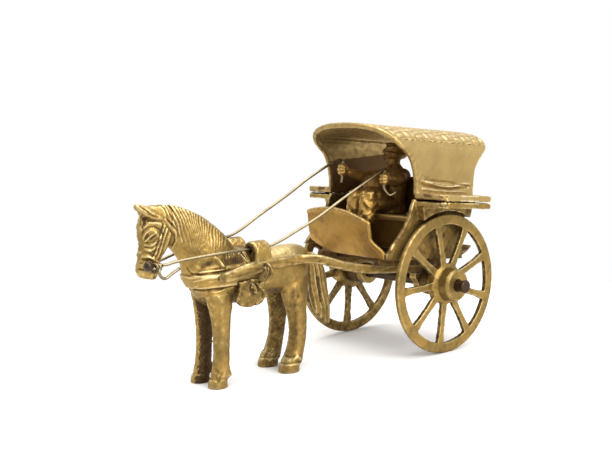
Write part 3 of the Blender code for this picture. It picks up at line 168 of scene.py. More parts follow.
plainCasting = {"rough": 0.44, "metallic": 0.92, "coat": 0.05, "dirtAndShade": 1.0, "rub": 0.8, "pits": 0.5, "bump": 0.3}
coreCasting = {"rough": 0.50, "metallic": 0.88, "pits": 0.8, "bump": 0.35}
# each finish: mid and olive tones, pale for rubbed ridges and painted highlight, and the patina colour for patina and
# painted shade
finishes = {
    "rubbedBrass": {"mid": (0.336, 0.208, 0.053), "olive": (0.240, 0.160, 0.042), "pale": (0.68, 0.53, 0.25),
                    "patinaAndShade": (0.062, 0.034, 0.012), "coat": 0.15},
    "warmBrass": {"mid": (0.385, 0.220, 0.050), "olive": (0.300, 0.176, 0.042), "pale": (0.66, 0.49, 0.22),
                  "patinaAndShade": (0.125, 0.060, 0.018), "coat": 0.10},
    "hoodBrass": {"mid": (0.435, 0.302, 0.110), "olive": (0.368, 0.258, 0.092), "pale": (0.80, 0.67, 0.42),
                  "patinaAndShade": (0.145, 0.078, 0.028), "metallic": 0.88, "coat": 0.12, "rub": 0.9},
    "wireBrass": {"mid": (0.27, 0.212, 0.115), "olive": (0.20, 0.155, 0.080), "pale": (0.64, 0.56, 0.40),
                  "patinaAndShade": (0.055, 0.030, 0.012), "rough": 0.30, "metallic": 0.95, "coat": 0.3, "dirtAndShade": 0.7,
                  "pits": 0.0, "bump": 0.05},
    # a darker, redder copy of the brass for the cab's inner pieces: painted shade
    "shadedCabBrass": {"mid": (0.300, 0.155, 0.034), "olive": (0.215, 0.110, 0.025), "pale": (0.46, 0.29, 0.11),
                 "patinaAndShade": (0.100, 0.047, 0.012), "rub": 0.7, **coreCasting},
    "benchBrass": {"mid": (0.370, 0.215, 0.068), "olive": (0.290, 0.170, 0.052), "pale": (0.52, 0.37, 0.17),
                   "patinaAndShade": (0.085, 0.041, 0.015), **coreCasting, "rough": 0.48, "metallic": 0.90, "dirtAndShade": 0.9,
                   "rub": 0.7},
    # a near-brown copy of the brass for the crossbars and collars under the cart: painted shade
    "shadedUnderBrass": {"mid": (0.130, 0.078, 0.026), "olive": (0.085, 0.052, 0.018), "pale": (0.30, 0.20, 0.08),
                   "patinaAndShade": (0.040, 0.021, 0.008), "rub": 0.6, **coreCasting},
    "darkSteel": {"mid": (0.070, 0.044, 0.026), "olive": (0.048, 0.030, 0.018), "pale": (0.24, 0.16, 0.11),
                  "patinaAndShade": (0.018, 0.010, 0.007), "rough": 0.46, "metallic": 0.9, "coat": 0.08, "dirtAndShade": 0.7,
                  "rub": 0.5, "pits": 0.6, "bump": 0.2},
    "polishedSteel": {"mid": (0.050, 0.031, 0.018), "olive": (0.036, 0.022, 0.013), "pale": (0.13, 0.08, 0.05),
                      "patinaAndShade": (0.016, 0.008, 0.005), "rough": 0.24, "metallic": 0.9, "coat": 0.25, "dirtAndShade": 0.3,
                      "rub": 0.2, "pits": 0.0, "bump": 0.03},
}
shine = {
    "shelterReach": 0.006, "shelterSamples": 6, "cloudEdges": (0.35, 0.68),
    # how much each mark adds to the roughness, the metal and the coat
    "mottleRough": 0.16, "patinaShadeRough": 0.22, "brightRough": -0.08, "patinaShadeMetal": -0.30, "patinaShadeCoat": -0.85,
    "constants": {"Coat Roughness": 0.25, "Specular IOR Level": 0.3, "Specular Tint": (1.0, 0.93, 0.82, 1.0)},
    "bumpHeight": 0.0002,
}


def makeBrass(name, values):
    values = {**plainCasting, **values}
    material = bpy.data.materials.new(name)
    material.use_nodes = True
    tree = material.node_tree
    shader = tree.nodes["Principled BSDF"]
    place = tree.nodes.new("ShaderNodeTexCoord").outputs["Object"]
    hollow, tarnishAndShade = (addNode(tree, "ShaderNodeAttribute", attribute_name=mark).outputs["Fac"]
                       for mark in ("hollow", "tarnishAndShade"))
    # ambient occlusion: patina in crevices, and painted shade wherever the brass is sheltered
    shelter = addNode(tree, "ShaderNodeAmbientOcclusion", {"Distance": shine["shelterReach"]},
                      samples=shine["shelterSamples"])
    cast = addNode(tree, "ShaderNodeGroup", node_tree=castSkin)
    tree.links.new(place, cast.inputs["Position"])
    cast.inputs["Pits"].default_value = values["pits"]
    cast = cast.outputs
    worn = addNode(tree, "ShaderNodeGroup", node_tree=wearAndPaintedLight)
    for label, value in (("Hollow", hollow), ("Shelter", mathNode(tree, 'SUBTRACT', 1.0, shelter.outputs["AO"])),
                         ("Mottle", cast["Mottle"]), ("TarnishAndShade", tarnishAndShade)):
        tree.links.new(value, worn.inputs[label])
    worn.inputs["DirtAndShade"].default_value = values["dirtAndShade"]
    worn.inputs["RubAndHighlight"].default_value = values["rub"]
    patinaAndShade, bright = worn.outputs["PatinaAndShade"], worn.outputs["Bright"]
    base = mixColour(tree, ramp(tree, cast["Cloud"], *shine["cloudEdges"]), colour(values["mid"]),
                     colour(values["olive"]))
    # pale for rubbed ridges and the painted highlight; the patina colour for patina, painted shade and pits
    for share, tone in ((bright, "pale"), (patinaAndShade, "patinaAndShade"), (cast["Pit"], "patinaAndShade")):
        base = mixColour(tree, share, base, colour(values[tone]))
    rough = mathNode(tree, 'MULTIPLY_ADD', cast["Mottle"], shine["mottleRough"],
                     values["rough"] - shine["mottleRough"] / 2)
    rough = mathNode(tree, 'MULTIPLY_ADD', patinaAndShade, shine["patinaShadeRough"], rough)
    rough = mathNode(tree, 'MULTIPLY_ADD', bright, shine["brightRough"], rough)
    metallic = mathNode(tree, 'MULTIPLY_ADD', patinaAndShade, shine["patinaShadeMetal"], values["metallic"])
    coat = mathNode(tree, 'MULTIPLY_ADD', patinaAndShade, shine["patinaShadeCoat"] * values["coat"], values["coat"])
    bump = addNode(tree, "ShaderNodeBump", {"Strength": values["bump"], "Distance": shine["bumpHeight"],
                                            "Height": cast["Height"]})
    for label, value in (("Base Color", base), ("Roughness", rough), ("Metallic", metallic), ("Coat Weight", coat),
                         ("Normal", bump.outputs["Normal"])):
        tree.links.new(value, shader.inputs[label])
    for label, value in shine["constants"].items():
        shader.inputs[label].default_value = value
    return material


finish = {name: makeBrass(name, values) for name, values in finishes.items()}
print("finishes made:", ", ".join(finish))


# Tools for castings: everything is modelled in mm and scaled at the end

ahead, left, up = Vector((1, 0, 0)), Vector((0, 1, 0)), Vector((0, 0, 1))


def smoothRows(rows, steps):
    # rows of numbers on smooth curves through the given rows
    ends = [rows[0]] + list(rows) + [rows[-1]]
    made = []
    for before, start, end, after in zip(ends, ends[1:], ends[2:], ends[3:]):
        for step in range(steps):
            t = step / steps
            made.append(tuple(0.5 * (2 * s + (e - b) * t + (2 * b - 5 * s + 4 * e - a) * t * t
                                     + (3 * s - b - 3 * e + a) * t ** 3)
                              for b, s, e, a in zip(before, start, end, after)))
    made.append(tuple(rows[-1]))
    return made


def edgesOf(verts):
    return list({edge for vert in verts for edge in vert.link_edges})


def addLoop(bm, centre, across, along, halfAcross, halfAlong, segments, power=2.0):
    # a circle pulled to a superellipse in the plane of two directions
    verts = bmesh.ops.create_circle(bm, cap_ends=False, radius=1.0, segments=segments)["verts"]
    for vert in verts:
        u = math.copysign(abs(vert.co.x) ** (2 / power), vert.co.x) * halfAcross
        v = math.copysign(abs(vert.co.y) ** (2 / power), vert.co.y) * halfAlong
        vert.co = centre + across * u + along * v
    return edgesOf(verts)


def bridgeLoops(bm, loops):
    for near, far in zip(loops, loops[1:]):
        bmesh.ops.bridge_loops(bm, edges=near + far)
    for loop in (loops[0], loops[-1]):
        bmesh.ops.edgeloop_fill(bm, edges=loop)


def addTube(bm, points, radius, segments=20):
    # a round solid along a path, with one radius or a radius at each point
    points = [Vector(point) for point in points]
    radii = radius if isinstance(radius, list) else [radius] * len(points)
    loops = []
    across = None
    for i, point in enumerate(points):
        direction = (points[min(i + 1, len(points) - 1)] - points[max(i - 1, 0)]).normalized()
        if across is None:
            across = direction.orthogonal().normalized()
        across = (across - direction * across.dot(direction)).normalized()
        loops.append(addLoop(bm, point, across, direction.cross(across), radii[i], radii[i], segments))
    bridgeLoops(bm, loops)


def addLimb(bm, rows, steps):
    # level slices: x, y, z, half along x, half along y
    bridgeLoops(bm, [addLoop(bm, Vector(row[:3]), ahead, left, row[3], row[4], 28) for row in smoothRows(rows, steps)])


def addBall(bm, centre, radii):
    made = bmesh.ops.create_icosphere(bm, subdivisions=3, radius=1.0)["verts"]
    bmesh.ops.transform(bm, matrix=Matrix.Translation(centre) @ Matrix.Diagonal((*radii, 1.0)), verts=made)


def nodeCopy(name):
    # a CAD piece's own shape in mm, its loose triangles merged
    bm = bmesh.new()
    bm.from_mesh(nodes[name].data)
    bmesh.ops.remove_doubles(bm, verts=bm.verts, dist=1e-6)
    bmesh.ops.scale(bm, vec=(1 / mm, 1 / mm, 1 / mm), verts=bm.verts)
    return bm


def moveToHorse(bm):
    # from the horse's own zero to the model's
    bmesh.ops.translate(bm, vec=(horseX, 0, 0), verts=bm.verts)
    bmesh.ops.recalc_face_normals(bm, faces=bm.faces)


def toMesh(name, bm):
    mesh = bpy.data.meshes.new(name)
    bm.to_mesh(mesh)
    bm.free()
    return mesh


def toScene(name, data):
    made = bpy.data.objects.new(name, data)
    bpy.context.scene.collection.objects.link(made)
    return made


def toObject(name, bm):
    bmesh.ops.scale(bm, vec=(mm, mm, mm), verts=bm.verts)
    return toScene(name, toMesh(name, bm))


def bake(piece):
    bpy.context.view_layer.update()
    piece.data = bpy.data.meshes.new_from_object(piece.evaluated_get(bpy.context.evaluated_depsgraph_get()))
    piece.modifiers.clear()


def castSolid(name, bm, shape):
    # one even skin over all the shapes, with its edges softened as a casting's are
    piece = toObject(name, bm)
    even = piece.modifiers.new("evenSkin", 'REMESH')
    even.mode = 'VOXEL'
    even.voxel_size = shape["voxel"] * mm
    soft = piece.modifiers.new("softEdges", 'SMOOTH')
    soft.factor = 0.5
    soft.iterations = shape["softening"]
    bake(piece)
    return piece


def readPoints(mesh):
    places = np.empty(len(mesh.vertices) * 3, dtype=np.float32)
    mesh.vertices.foreach_get("co", places)
    normals = np.empty(len(mesh.vertices) * 3, dtype=np.float32)
    mesh.vertex_normals.foreach_get("vector", normals)
    return places.reshape(-1, 3).astype(np.float64) / mm, normals.reshape(-1, 3).astype(np.float64)


def carve(piece, depthAt):
    # move each point along its normal by what depthAt gives, in mm
    places, normals = readPoints(piece.data)
    places += normals * depthAt(places, normals)[:, None]
    piece.data.vertices.foreach_set("co", (places * mm).astype(np.float32).ravel())
    piece.data.update()


# the top entries paint a highlight on upward faces, the under entries paint shade on downward faces
marks = {"reach": 0.28, "share": 0.6, "limit": 0.5, "topHighlight": 0.15, "topFrom": (0.1, 0.95), "underShade": 0.45,
         "underFrom": (0.2, 0.9)}


def writeMark(mesh, name, values):
    mesh.attributes.new(name, 'FLOAT', 'POINT').data.foreach_set("value", values.astype(np.float32))


def markWearAndLight(piece, tarnishAndShadeAt=None, rounds=14, calmAt=None, rubAt=None):
    # hollow: below 0 on ridges and above 0 in hollows, lowered on upward faces for a painted highlight; tarnish:
    # tarnish, and painted shade on downward faces and wherever the tarnish function paints it
    # calmAt says where a thin wall misleads the hollows
    mesh = piece.data
    places, normals = readPoints(mesh)
    edges = np.empty(len(mesh.edges) * 2, dtype=np.int32)
    mesh.edges.foreach_get("vertices", edges)
    first, second = edges.reshape(-1, 2).T
    count = len(places)
    ties = np.maximum(np.bincount(first, minlength=count) + np.bincount(second, minlength=count), 1)
    smooth = places.copy()
    for _ in range(rounds):
        for axis in range(3):
            total = (np.bincount(first, weights=smooth[second, axis], minlength=count)
                     + np.bincount(second, weights=smooth[first, axis], minlength=count))
            smooth[:, axis] += marks["share"] * (total / ties - smooth[:, axis])
    depth = ((smooth - places) * normals).sum(axis=1)
    hollow = np.clip(depth / (2 * marks["reach"]), -marks["limit"], marks["limit"])
    if calmAt:
        hollow *= 1 - calmAt(places)
    # painted highlight on upward faces
    hollow -= marks["topHighlight"] * softStep(normals[:, 2], *marks["topFrom"])
    # a painted highlight where the given function asks for one
    if rubAt:
        hollow -= rubAt(places, normals)
    writeMark(mesh, "hollow", hollow)
    # painted shade on downward faces
    dark = marks["underShade"] * softStep(-normals[:, 2], *marks["underFrom"])
    if tarnishAndShadeAt:
        dark = np.maximum(dark, tarnishAndShadeAt(places, normals))
    writeMark(mesh, "tarnishAndShade", dark)


def countTriangles(piece):
    return sum(len(face.vertices) - 2 for face in piece.data.polygons)


def thinOut(piece, mostTriangles):
    # fewer faces where the skin is plain
    count = countTriangles(piece)
    if count > mostTriangles:
        piece.modifiers.new("fewerFaces", 'DECIMATE').ratio = mostTriangles / count
        bake(piece)
    print(piece.name, "triangles:", count, "to", countTriangles(piece))


bodyOf = {node: body for body, names in frame["record"]["behaviour"]["bodies"].items() for node in names}


def finishPiece(piece, node, look, replaces=True):
    # the piece moves and is coloured with its CAD node, and takes its place
    piece.data.materials.clear()
    piece.data.materials.append(finish[look])
    piece.data.shade_smooth()
    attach(piece, bodyOf[node])
    if replaces:
        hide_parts(node)
    print("made", piece.name, len(piece.data.polygons))


def makeCasting(name, bm, shape, node, look, reliefAt=None, tarnishAndShadeAt=None, replaces=True, **marking):
    # all the way from loose shapes to a finished casting
    piece = castSolid(name, bm, shape)
    if reliefAt:
        carve(piece, reliefAt)
    markWearAndLight(piece, tarnishAndShadeAt, **marking)
    if "mostTriangles" in shape:
        thinOut(piece, shape["mostTriangles"])
    finishPiece(piece, node, look, replaces)


# Tools for reliefs and marks: places and normals are arrays with a row for each point

def softStep(values, low, high):
    share = np.clip((values - low) / (high - low), 0, 1)
    return share * share * (3 - 2 * share)


def window(values, riseFrom, riseTo, fallFrom, fallTo):
    return softStep(values, riseFrom, riseTo) * (1 - softStep(values, fallFrom, fallTo))


def strongest(*masks):
    return functools.reduce(np.maximum, masks)


def facingOut(places, normals):
    # how much a face looks away from the model's middle plane
    return np.sign(places[:, 1]) * normals[:, 1]


def fromHorse(places):
    # x, y and z from the horse's own zero
    return places[:, 0] - horseX, places[:, 1], places[:, 2]


def toCart(places):
    # x, y and z in the cart's own level frame, its axle at zero
    back = np.array(cartPlace.inverted())
    return (places @ back[:3, :3].T + back[:3, 3]).T


def strokeDistance(x, z, path):
    # distance in the side view from each point to a bent line
    best = np.full(len(x), 1e9)
    for (x0, z0), (x1, z1) in zip(path, path[1:]):
        dx, dz = x1 - x0, z1 - z0
        share = np.clip(((x - x0) * dx + (z - z0) * dz) / (dx * dx + dz * dz), 0, 1)
        best = np.minimum(best, np.hypot(x - x0 - share * dx, z - z0 - share * dz))
    return best


def ridge(distance, width):
    return np.exp(-(distance / width) ** 2)


def pressStrokes(x, z, strokes):
    # rise and darkness of tooled lines: path, half width, rise, darkness
    rise = np.zeros(len(x))
    dark = np.zeros(len(x))
    for path, width, height, tarnishAndShade in strokes:
        mark = ridge(strokeDistance(x, z, path), width)
        rise += height * mark
        dark = np.maximum(dark, tarnishAndShade * mark)
    return rise, dark


def lumps(places, size):
    # an uneven skin: crossed waves that never line up, from -1 to 1
    x, y, z = (places / size).T
    first = np.sin(1.7 * x + 1.3 * np.sin(1.1 * z + 0.7 * y)) * np.sin(1.9 * z + 1.1 * np.sin(1.3 * y + 0.4 * x))
    second = np.sin(2.3 * y + 0.9 * np.sin(1.5 * x)) * np.sin(1.4 * (x + z) + 0.8 * np.sin(0.9 * y))
    return (first + 0.6 * second) / 1.6


def uneven(places, coarse, coarseSize, fine, fineSize):
    # two sizes of lumps that cross each other
    return coarse * lumps(places, coarseSize) + fine * lumps(places[:, ::-1], fineSize)


# The horse

horseParts = {
    "voxel": 0.29, "softening": 4, "mostTriangles": 186000,
    # x, middle z, half height, half width
    "trunk": [(-29.9, 44.0, 2.6, 2.6), (-28.2, 43.2, 6.2, 5.2), (-24.0, 41.4, 9.4, 7.6), (-17.5, 41.0, 9.9, 8.5),
              (-9.0, 41.5, 8.8, 8.3), (-1.0, 41.4, 9.3, 8.6), (6.0, 41.8, 11.1, 8.6), (13.0, 43.0, 12.0, 8.3),
              (19.0, 42.8, 11.8, 7.8), (23.5, 43.8, 9.6, 6.8), (26.6, 45.6, 6.8, 5.3), (28.7, 47.0, 4.2, 3.8),
              (29.8, 47.4, 1.8, 1.9)],
    # crest x, z, throat x, z, half width
    "neck": [(6.0, 52.0, 25.0, 38.5, 7.6), (11.8, 58.9, 29.5, 45.5, 6.6), (16.2, 62.6, 30.8, 48.6, 5.8),
             (21.3, 66.3, 32.6, 51.9, 5.2), (28.5, 69.5, 35.2, 55.0, 4.7), (35.0, 71.4, 37.5, 58.0, 4.4)],
    # jaw x, z, face x, z, half width
    "head": [(43.6, 44.4, 48.0, 45.5, 1.9), (42.0, 45.0, 49.6, 46.9, 3.0), (41.2, 47.4, 50.0, 49.2, 3.5),
             (40.6, 50.8, 49.2, 52.3, 3.4), (38.8, 53.8, 48.3, 55.6, 3.8), (35.4, 57.4, 48.3, 59.6, 4.6),
             (33.6, 61.6, 48.6, 63.6, 4.9), (33.2, 65.8, 48.2, 67.2, 4.7), (34.2, 69.2, 46.8, 69.9, 4.0),
             (36.6, 71.4, 43.8, 71.6, 2.6)],
    # x, y, z, half along x, half along y
    "foreLeg": [(19.8, 6.0, 0.0, 4.0, 3.6), (19.6, 6.0, 3.0, 3.8, 3.4), (18.5, 6.0, 3.9, 4.2, 3.6),
                (18.3, 6.0, 5.6, 4.1, 3.5), (18.2, 6.0, 8.0, 3.5, 3.2), (17.8, 6.0, 11.0, 3.3, 3.1),
                (17.5, 5.9, 16.0, 3.3, 3.1), (17.3, 5.8, 21.0, 3.6, 3.2), (17.1, 5.6, 26.5, 4.2, 3.3),
                (16.9, 5.2, 31.0, 5.3, 3.4), (17.2, 4.6, 36.5, 6.3, 3.2), (17.4, 3.4, 42.0, 6.4, 2.6)],
    "hindLeg": [(-14.7, 7.0, 0.0, 4.5, 4.0), (-15.0, 7.0, 2.2, 4.4, 3.9), (-15.9, 7.0, 3.5, 4.9, 4.1),
                (-16.8, 7.0, 5.6, 4.5, 3.7), (-18.0, 7.0, 8.4, 4.1, 3.3), (-19.1, 6.9, 12.0, 3.9, 3.1),
                (-19.9, 6.8, 16.5, 3.9, 3.1), (-20.1, 6.5, 21.0, 4.3, 3.2), (-19.8, 6.0, 26.0, 4.9, 3.4),
                (-20.0, 5.3, 31.5, 6.4, 3.6), (-20.6, 4.4, 37.0, 7.4, 3.4), (-20.6, 3.4, 42.0, 7.2, 2.8)],
    "tail": [(-26.0, 0, 45.0, 1.7), (-30.6, 0, 45.0, 2.1), (-35.0, 0, 42.4, 1.9), (-38.0, 0, 37.0, 1.8),
             (-39.6, 0, 30.5, 2.0), (-40.8, 0, 23.5, 1.9), (-42.6, 0, 15.6, 0.9)],
    "tailHair": [(-32.5, 0, 46.0, 2.2, 1.6), (-34.4, 0, 43.0, 3.4, 2.0), (-35.8, 0, 40.0, 4.0, 2.2),
                 (-36.7, 0, 35.0, 4.6, 2.3), (-37.2, 0, 30.0, 4.9, 2.3), (-38.2, 0, 24.5, 4.8, 2.2),
                 (-39.4, 0, 20.3, 4.1, 1.9), (-41.0, 0, 16.8, 2.6, 1.4), (-42.2, 0, 14.8, 1.0, 0.8)],
    "tailHollow": [(-35.4, 35.5), (-36.1, 31.0), (-37.0, 25.5)],
    # x, y, z, radius from the ear's foot, then the foot, and how long the left and the right ear are
    "ear": [(0, 0, 0, 2.2), (3.6, 0.36, 2.2, 2.1), (6.8, 0.68, 4.2, 1.7), (9.2, 0.92, 5.4, 1.2), (10.0, 1.0, 5.7, 0.7)],
    "earFoot": (41.0, 2.9, 66.6), "earReach": (1.0, 0.6),
    "forelock": ((42.6, 0.0, 69.8), (3.2, 3.5, 2.3)),
    "strap": [(3.0, 41.5), (16.0, 41.7), (30.0, 41.8)],     # x and z of its middle
    "strapHalfHeight": 2.6, "strapRise": 0.75,
    # x and z of the mane's lower edge, and of the crest that it hangs from
    "maneFoot": [(43.0, 72.0), (41.4, 69.2), (40.0, 67.2), (38.6, 65.4), (36.2, 61.8), (34.2, 57.9), (30.3, 54.9),
                 (25.9, 53.0), (19.5, 53.0), (14.3, 54.5), (10.4, 56.5), (4.0, 53.0)],
    "crest": [(7.9, 51.6), (15.7, 60.9), (24.3, 67.4), (30.0, 70.3), (35.6, 72.2), (41.2, 73.3), (47.8, 72.9)],
}

# tooled lines in the side view: x and z in mm from the horse's zero, then half width, rise and darkness
headStrokes = [
    ([(49.6, 61.1), (48.4, 62.9), (46.7, 63.5), (44.8, 63.0), (43.4, 61.7), (42.5, 59.8)], 0.42, 0.42, 0.0),
    ([(48.7, 60.0), (46.1, 61.4), (43.8, 62.4)], 0.36, 0.50, 0.0),
    ([(49.2, 58.6), (47.4, 57.9), (45.5, 58.0), (43.4, 59.0), (42.4, 60.4)], 0.36, 0.40, 0.0),
    ([(49.3, 57.2), (46.6, 56.1), (44.1, 56.9), (42.1, 58.8)], 0.36, 0.36, 0.0),
    ([(48.9, 61.0), (47.5, 61.9)], 0.50, -0.50, 1.0),
    ([(46.6, 60.3), (44.4, 61.3)], 0.50, -0.50, 1.0),
    ([(48.6, 59.3), (45.6, 59.1), (43.6, 60.2)], 0.36, -0.36, 0.8),
    ([(49.2, 57.9), (46.2, 57.0), (43.9, 57.9), (42.3, 59.5)], 0.30, -0.32, 0.8),
    ([(49.4, 56.3), (46.6, 55.1), (43.7, 55.9), (41.6, 58.0)], 0.36, -0.30, 0.7),
    ([(50.7, 62.4), (49.4, 64.0), (47.4, 64.8), (44.7, 64.7), (42.0, 63.2), (41.0, 61.2)], 0.42, -0.45, 0.9),
    ([(49.4, 65.0), (46.6, 66.2), (43.6, 66.0), (40.4, 64.4)], 0.60, 0.36, 0.0),
    ([(49.4, 68.6), (49.0, 66.8), (49.6, 65.2)], 0.80, -0.55, 1.0),
    ([(51.0, 69.4), (47.0, 67.3), (43.5, 66.5), (41.0, 66.2)], 0.46, -0.50, 0.8),
    ([(50.2, 72.6), (47.8, 70.9), (45.8, 69.0), (43.0, 67.8)], 0.40, -0.30, 0.8),
    ([(40.1, 64.5), (41.7, 61.0), (43.7, 56.0), (45.2, 53.7)], 0.36, 0.45, 0.0),
    ([(39.1, 63.2), (40.7, 59.9), (42.7, 55.2), (43.8, 53.2)], 0.36, 0.45, 0.0),
    ([(37.9, 61.5), (39.3, 58.0), (41.3, 54.8), (42.6, 52.9)], 0.40, 0.42, 0.0),
    ([(40.7, 65.3), (42.4, 61.3), (44.5, 56.4), (46.0, 54.0)], 0.34, -0.40, 1.0),
    ([(39.6, 63.9), (41.2, 60.5), (43.2, 55.6), (44.5, 53.4)], 0.28, -0.36, 1.0),
    ([(38.5, 62.3), (40.0, 59.0), (42.0, 55.0), (43.2, 53.0)], 0.30, -0.36, 0.9),
    ([(37.0, 60.9), (38.4, 57.6), (40.4, 54.6)], 0.34, -0.30, 0.6),
    ([(39.8, 66.6), (37.5, 63.9), (35.6, 61.6), (35.5, 58.4), (38.4, 55.6)], 0.44, 0.42, 0.0),
    ([(39.0, 66.9), (36.8, 64.6), (34.7, 62.0), (34.5, 58.2)], 0.36, -0.45, 0.9),
    ([(39.4, 64.8), (37.8, 62.8), (36.5, 61.0), (36.4, 58.8), (38.6, 56.4)], 0.30, -0.36, 0.8),
    ([(51.0, 54.9), (48.9, 54.3), (46.8, 53.6), (44.6, 52.3), (42.6, 51.1)], 0.55, 0.66, 0.0),
    ([(50.6, 53.6), (47.6, 52.5), (44.4, 50.9), (42.2, 49.6)], 0.46, -0.62, 1.0),
    ([(50.4, 56.2), (47.4, 55.1), (44.8, 53.9)], 0.30, -0.34, 0.8),
    ([(52.0, 52.4), (50.9, 52.1), (49.9, 52.4)], 0.42, -0.50, 0.8),
    ([(52.2, 50.3), (50.5, 49.7), (48.4, 49.3)], 0.36, -0.55, 0.9),
    ([(46.2, 44.6), (45.4, 46.4)], 0.45, -0.80, 0.9),
]
shoulderStrokes = [
    ([(34.4, 49.6), (33.4, 48.0), (32.0, 46.4)], 0.36, -0.50, 1.0),
    ([(32.6, 46.6), (28.0, 45.6), (22.0, 45.3), (16.6, 45.2), (9.5, 44.8)], 0.42, -0.60, 1.0),
    ([(29.0, 47.2), (24.0, 46.9), (16.4, 46.5)], 0.42, -0.36, 0.8),
    ([(28.5, 46.3), (22.0, 46.1), (16.6, 45.8)], 0.34, 0.26, 0.0),
    # a wide groove under the rein, darkened both for dirt and as the rein's painted shadow
    ([(27.2, 48.6), (23.0, 49.4), (20.8, 49.6)], 1.55, -0.90, 1.0),
    ([(17.3, 49.8), (14.6, 48.9), (12.0, 47.4)], 1.50, -0.70, 0.75),
    ([(21.0, 51.4), (18.9, 49.7), (17.0, 46.9)], 0.65, 0.85, 0.0),
    ([(22.6, 50.6), (20.4, 49.4), (18.6, 46.9)], 0.35, -0.40, 1.0),
    ([(29.5, 51.5), (25.5, 50.6), (21.8, 51.0)], 0.40, -0.30, 0.5),
    ([(30.7, 43.9), (27.0, 43.8), (23.5, 43.7), (16.2, 43.8), (9.0, 43.6)], 0.42, 0.42, 0.0),
    ([(31.0, 42.9), (24.0, 42.7), (14.0, 42.8)], 0.26, -0.26, 0.5),
    ([(31.0, 41.0), (22.0, 41.6), (12.0, 41.4)], 0.24, -0.20, 0.35),
    ([(31.5, 40.7), (27.0, 39.4), (21.5, 38.9), (15.5, 39.0), (8.0, 39.0)], 0.40, -0.60, 1.0),
    ([(25.0, 39.1), (21.0, 38.7), (18.0, 38.9)], 0.55, -0.50, 1.0),
    ([(9.6, 51.6), (7.3, 48.9), (5.4, 46.6)], 0.40, 0.95, 0.0),
    ([(8.5, 51.6), (6.3, 48.9), (4.5, 46.8)], 0.45, -0.50, 1.0),
    ([(30.5, 38.2), (26.0, 37.6), (20.9, 37.0), (15.3, 37.0)], 0.55, -0.28, 0.3),
    ([(28.5, 36.4), (25.5, 35.0), (23.6, 32.2)], 0.50, -0.40, 0.5),
    ([(11.6, 38.5), (12.6, 34.0), (13.2, 29.0)], 0.60, -0.40, 0.5),
    ([(35.4, 55.2), (32.4, 52.6), (29.6, 50.0)], 0.55, -0.35, 0.4),
]
legStrokes = [
    # the long bands down the legs paint shade: darker at the front of each leg, with lighter ridges down the middle of
    # the fore leg and the back of the hind leg
    ([(21.4, 35.5), (20.8, 30.0), (21.6, 24.0), (21.2, 14.0)], 0.90, -0.16, 0.25),
    ([(16.3, 35.2), (16.8, 29.2), (18.0, 23.8)], 0.90, -0.16, 0.25),
    ([(18.8, 34.0), (18.8, 27.0), (19.0, 18.0)], 1.20, 0.14, 0.0),
    ([(14.4, 30.0), (14.9, 20.0), (14.9, 10.0)], 0.50, -0.16, 0.3),
    ([(-15.4, 33.5), (-15.2, 26.0), (-15.4, 18.0), (-14.8, 12.0), (-13.6, 8.0)], 1.90, -0.40, 0.55),
    ([(-16.6, 33.0), (-16.8, 26.0), (-17.0, 18.0), (-16.4, 10.0)], 2.60, 0.0, 0.66),
    ([(-17.2, 34.5), (-17.4, 30.5)], 0.90, 0.22, 0.0),
    ([(-18.9, 31.0), (-18.8, 30.0)], 0.90, -0.40, 0.7),
    ([(-22.6, 27.7), (-22.4, 17.0), (-21.4, 7.0)], 0.80, 0.20, 0.0),
    ([(-12.0, 34.0), (-8.0, 33.6), (-2.0, 34.0)], 0.80, -0.20, 0.3),
    ([(22.6, 5.2), (21.9, 3.4), (21.0, 5.0)], 1.00, -0.34, 0.70),
    ([(22.9, 8.4), (21.4, 6.6), (20.0, 6.0)], 0.80, -0.32, 0.6),
    ([(15.4, 4.9), (12.6, 4.4)], 0.90, 0.50, 0.0),
    ([(-10.4, 8.2), (-12.8, 6.6), (-15.6, 6.4)], 0.80, -0.50, 0.8),
    ([(-15.2, 5.0), (-17.6, 6.0), (-18.8, 4.8)], 0.60, 0.55, 0.0),
    ([(-17.0, 4.2), (-19.2, 3.2)], 0.50, -0.50, 0.8),
]


# limits in mm between which a zone of the horse fades in, or in and out
horseZones = {
    "headFrom": (33.5, 35.5), "headHeights": (43, 73), "shoulderHeights": (27, 31, 55, 57), "shoulderFrom": (0, 3),
    "shoulderTo": 32, "legsTop": 37, "backEnds": (2.0, 8.0), "innerLegTop": (32, 35), "legBackTop": (28, 36),
    "bellyTop": (34, 38), "neckShadeHeights": (50, 53, 55, 58), "neckShadeAlong": (11, 14, 31, 34),
    "bodyTop": (30, 46), "tailFrom": -31, "fringeAlong": (6.0, 7.5, 15.0, 17.0),
    "fringeHeights": (46.4, 47.4, 51.5, 53.0), "fringeStrands": (49.0, 50.5), "poll": (29, 36),
    "innerLegSkinTop": (33, 37), "standing": (0.6, 1.6),
}
# how dark each zone is, and how much of that is uneven
# innerForeLeg, innerHindLeg, belly, tailHollow, lowFront and lowRear are painted shade
horseDark = {
    "innerForeLeg": (0.74, 0.26), "innerHindLeg": (0.50, 0.18), "legBack": 0.4, "belly": 0.7, "lines": 0.9,
    "mane": (0.42, 0.4), "fringe": (0.80, 0.5), "neckShade": 0.46, "tailHollow": (0.80, 0.25), "plain": 0.14,
    "lowFront": 0.13, "lowRear": 0.24, "plainUneven": 0.12,
}
# rises in mm
horseRise = {
    "mane": (0.32, 0.30), "valley": 0.45, "noseband": (55.0, 0.8, 0.42), "browBand": (64.3, 0.9, 0.30),
    "forelock": 0.38, "lines": 0.8, "fringe": (0.26, 0.4), "tailStrands": 0.20, "tailHollow": 0.55,
    "coronet": (3.9, 0.35, 0.25), "maneAt": 5.5,
}

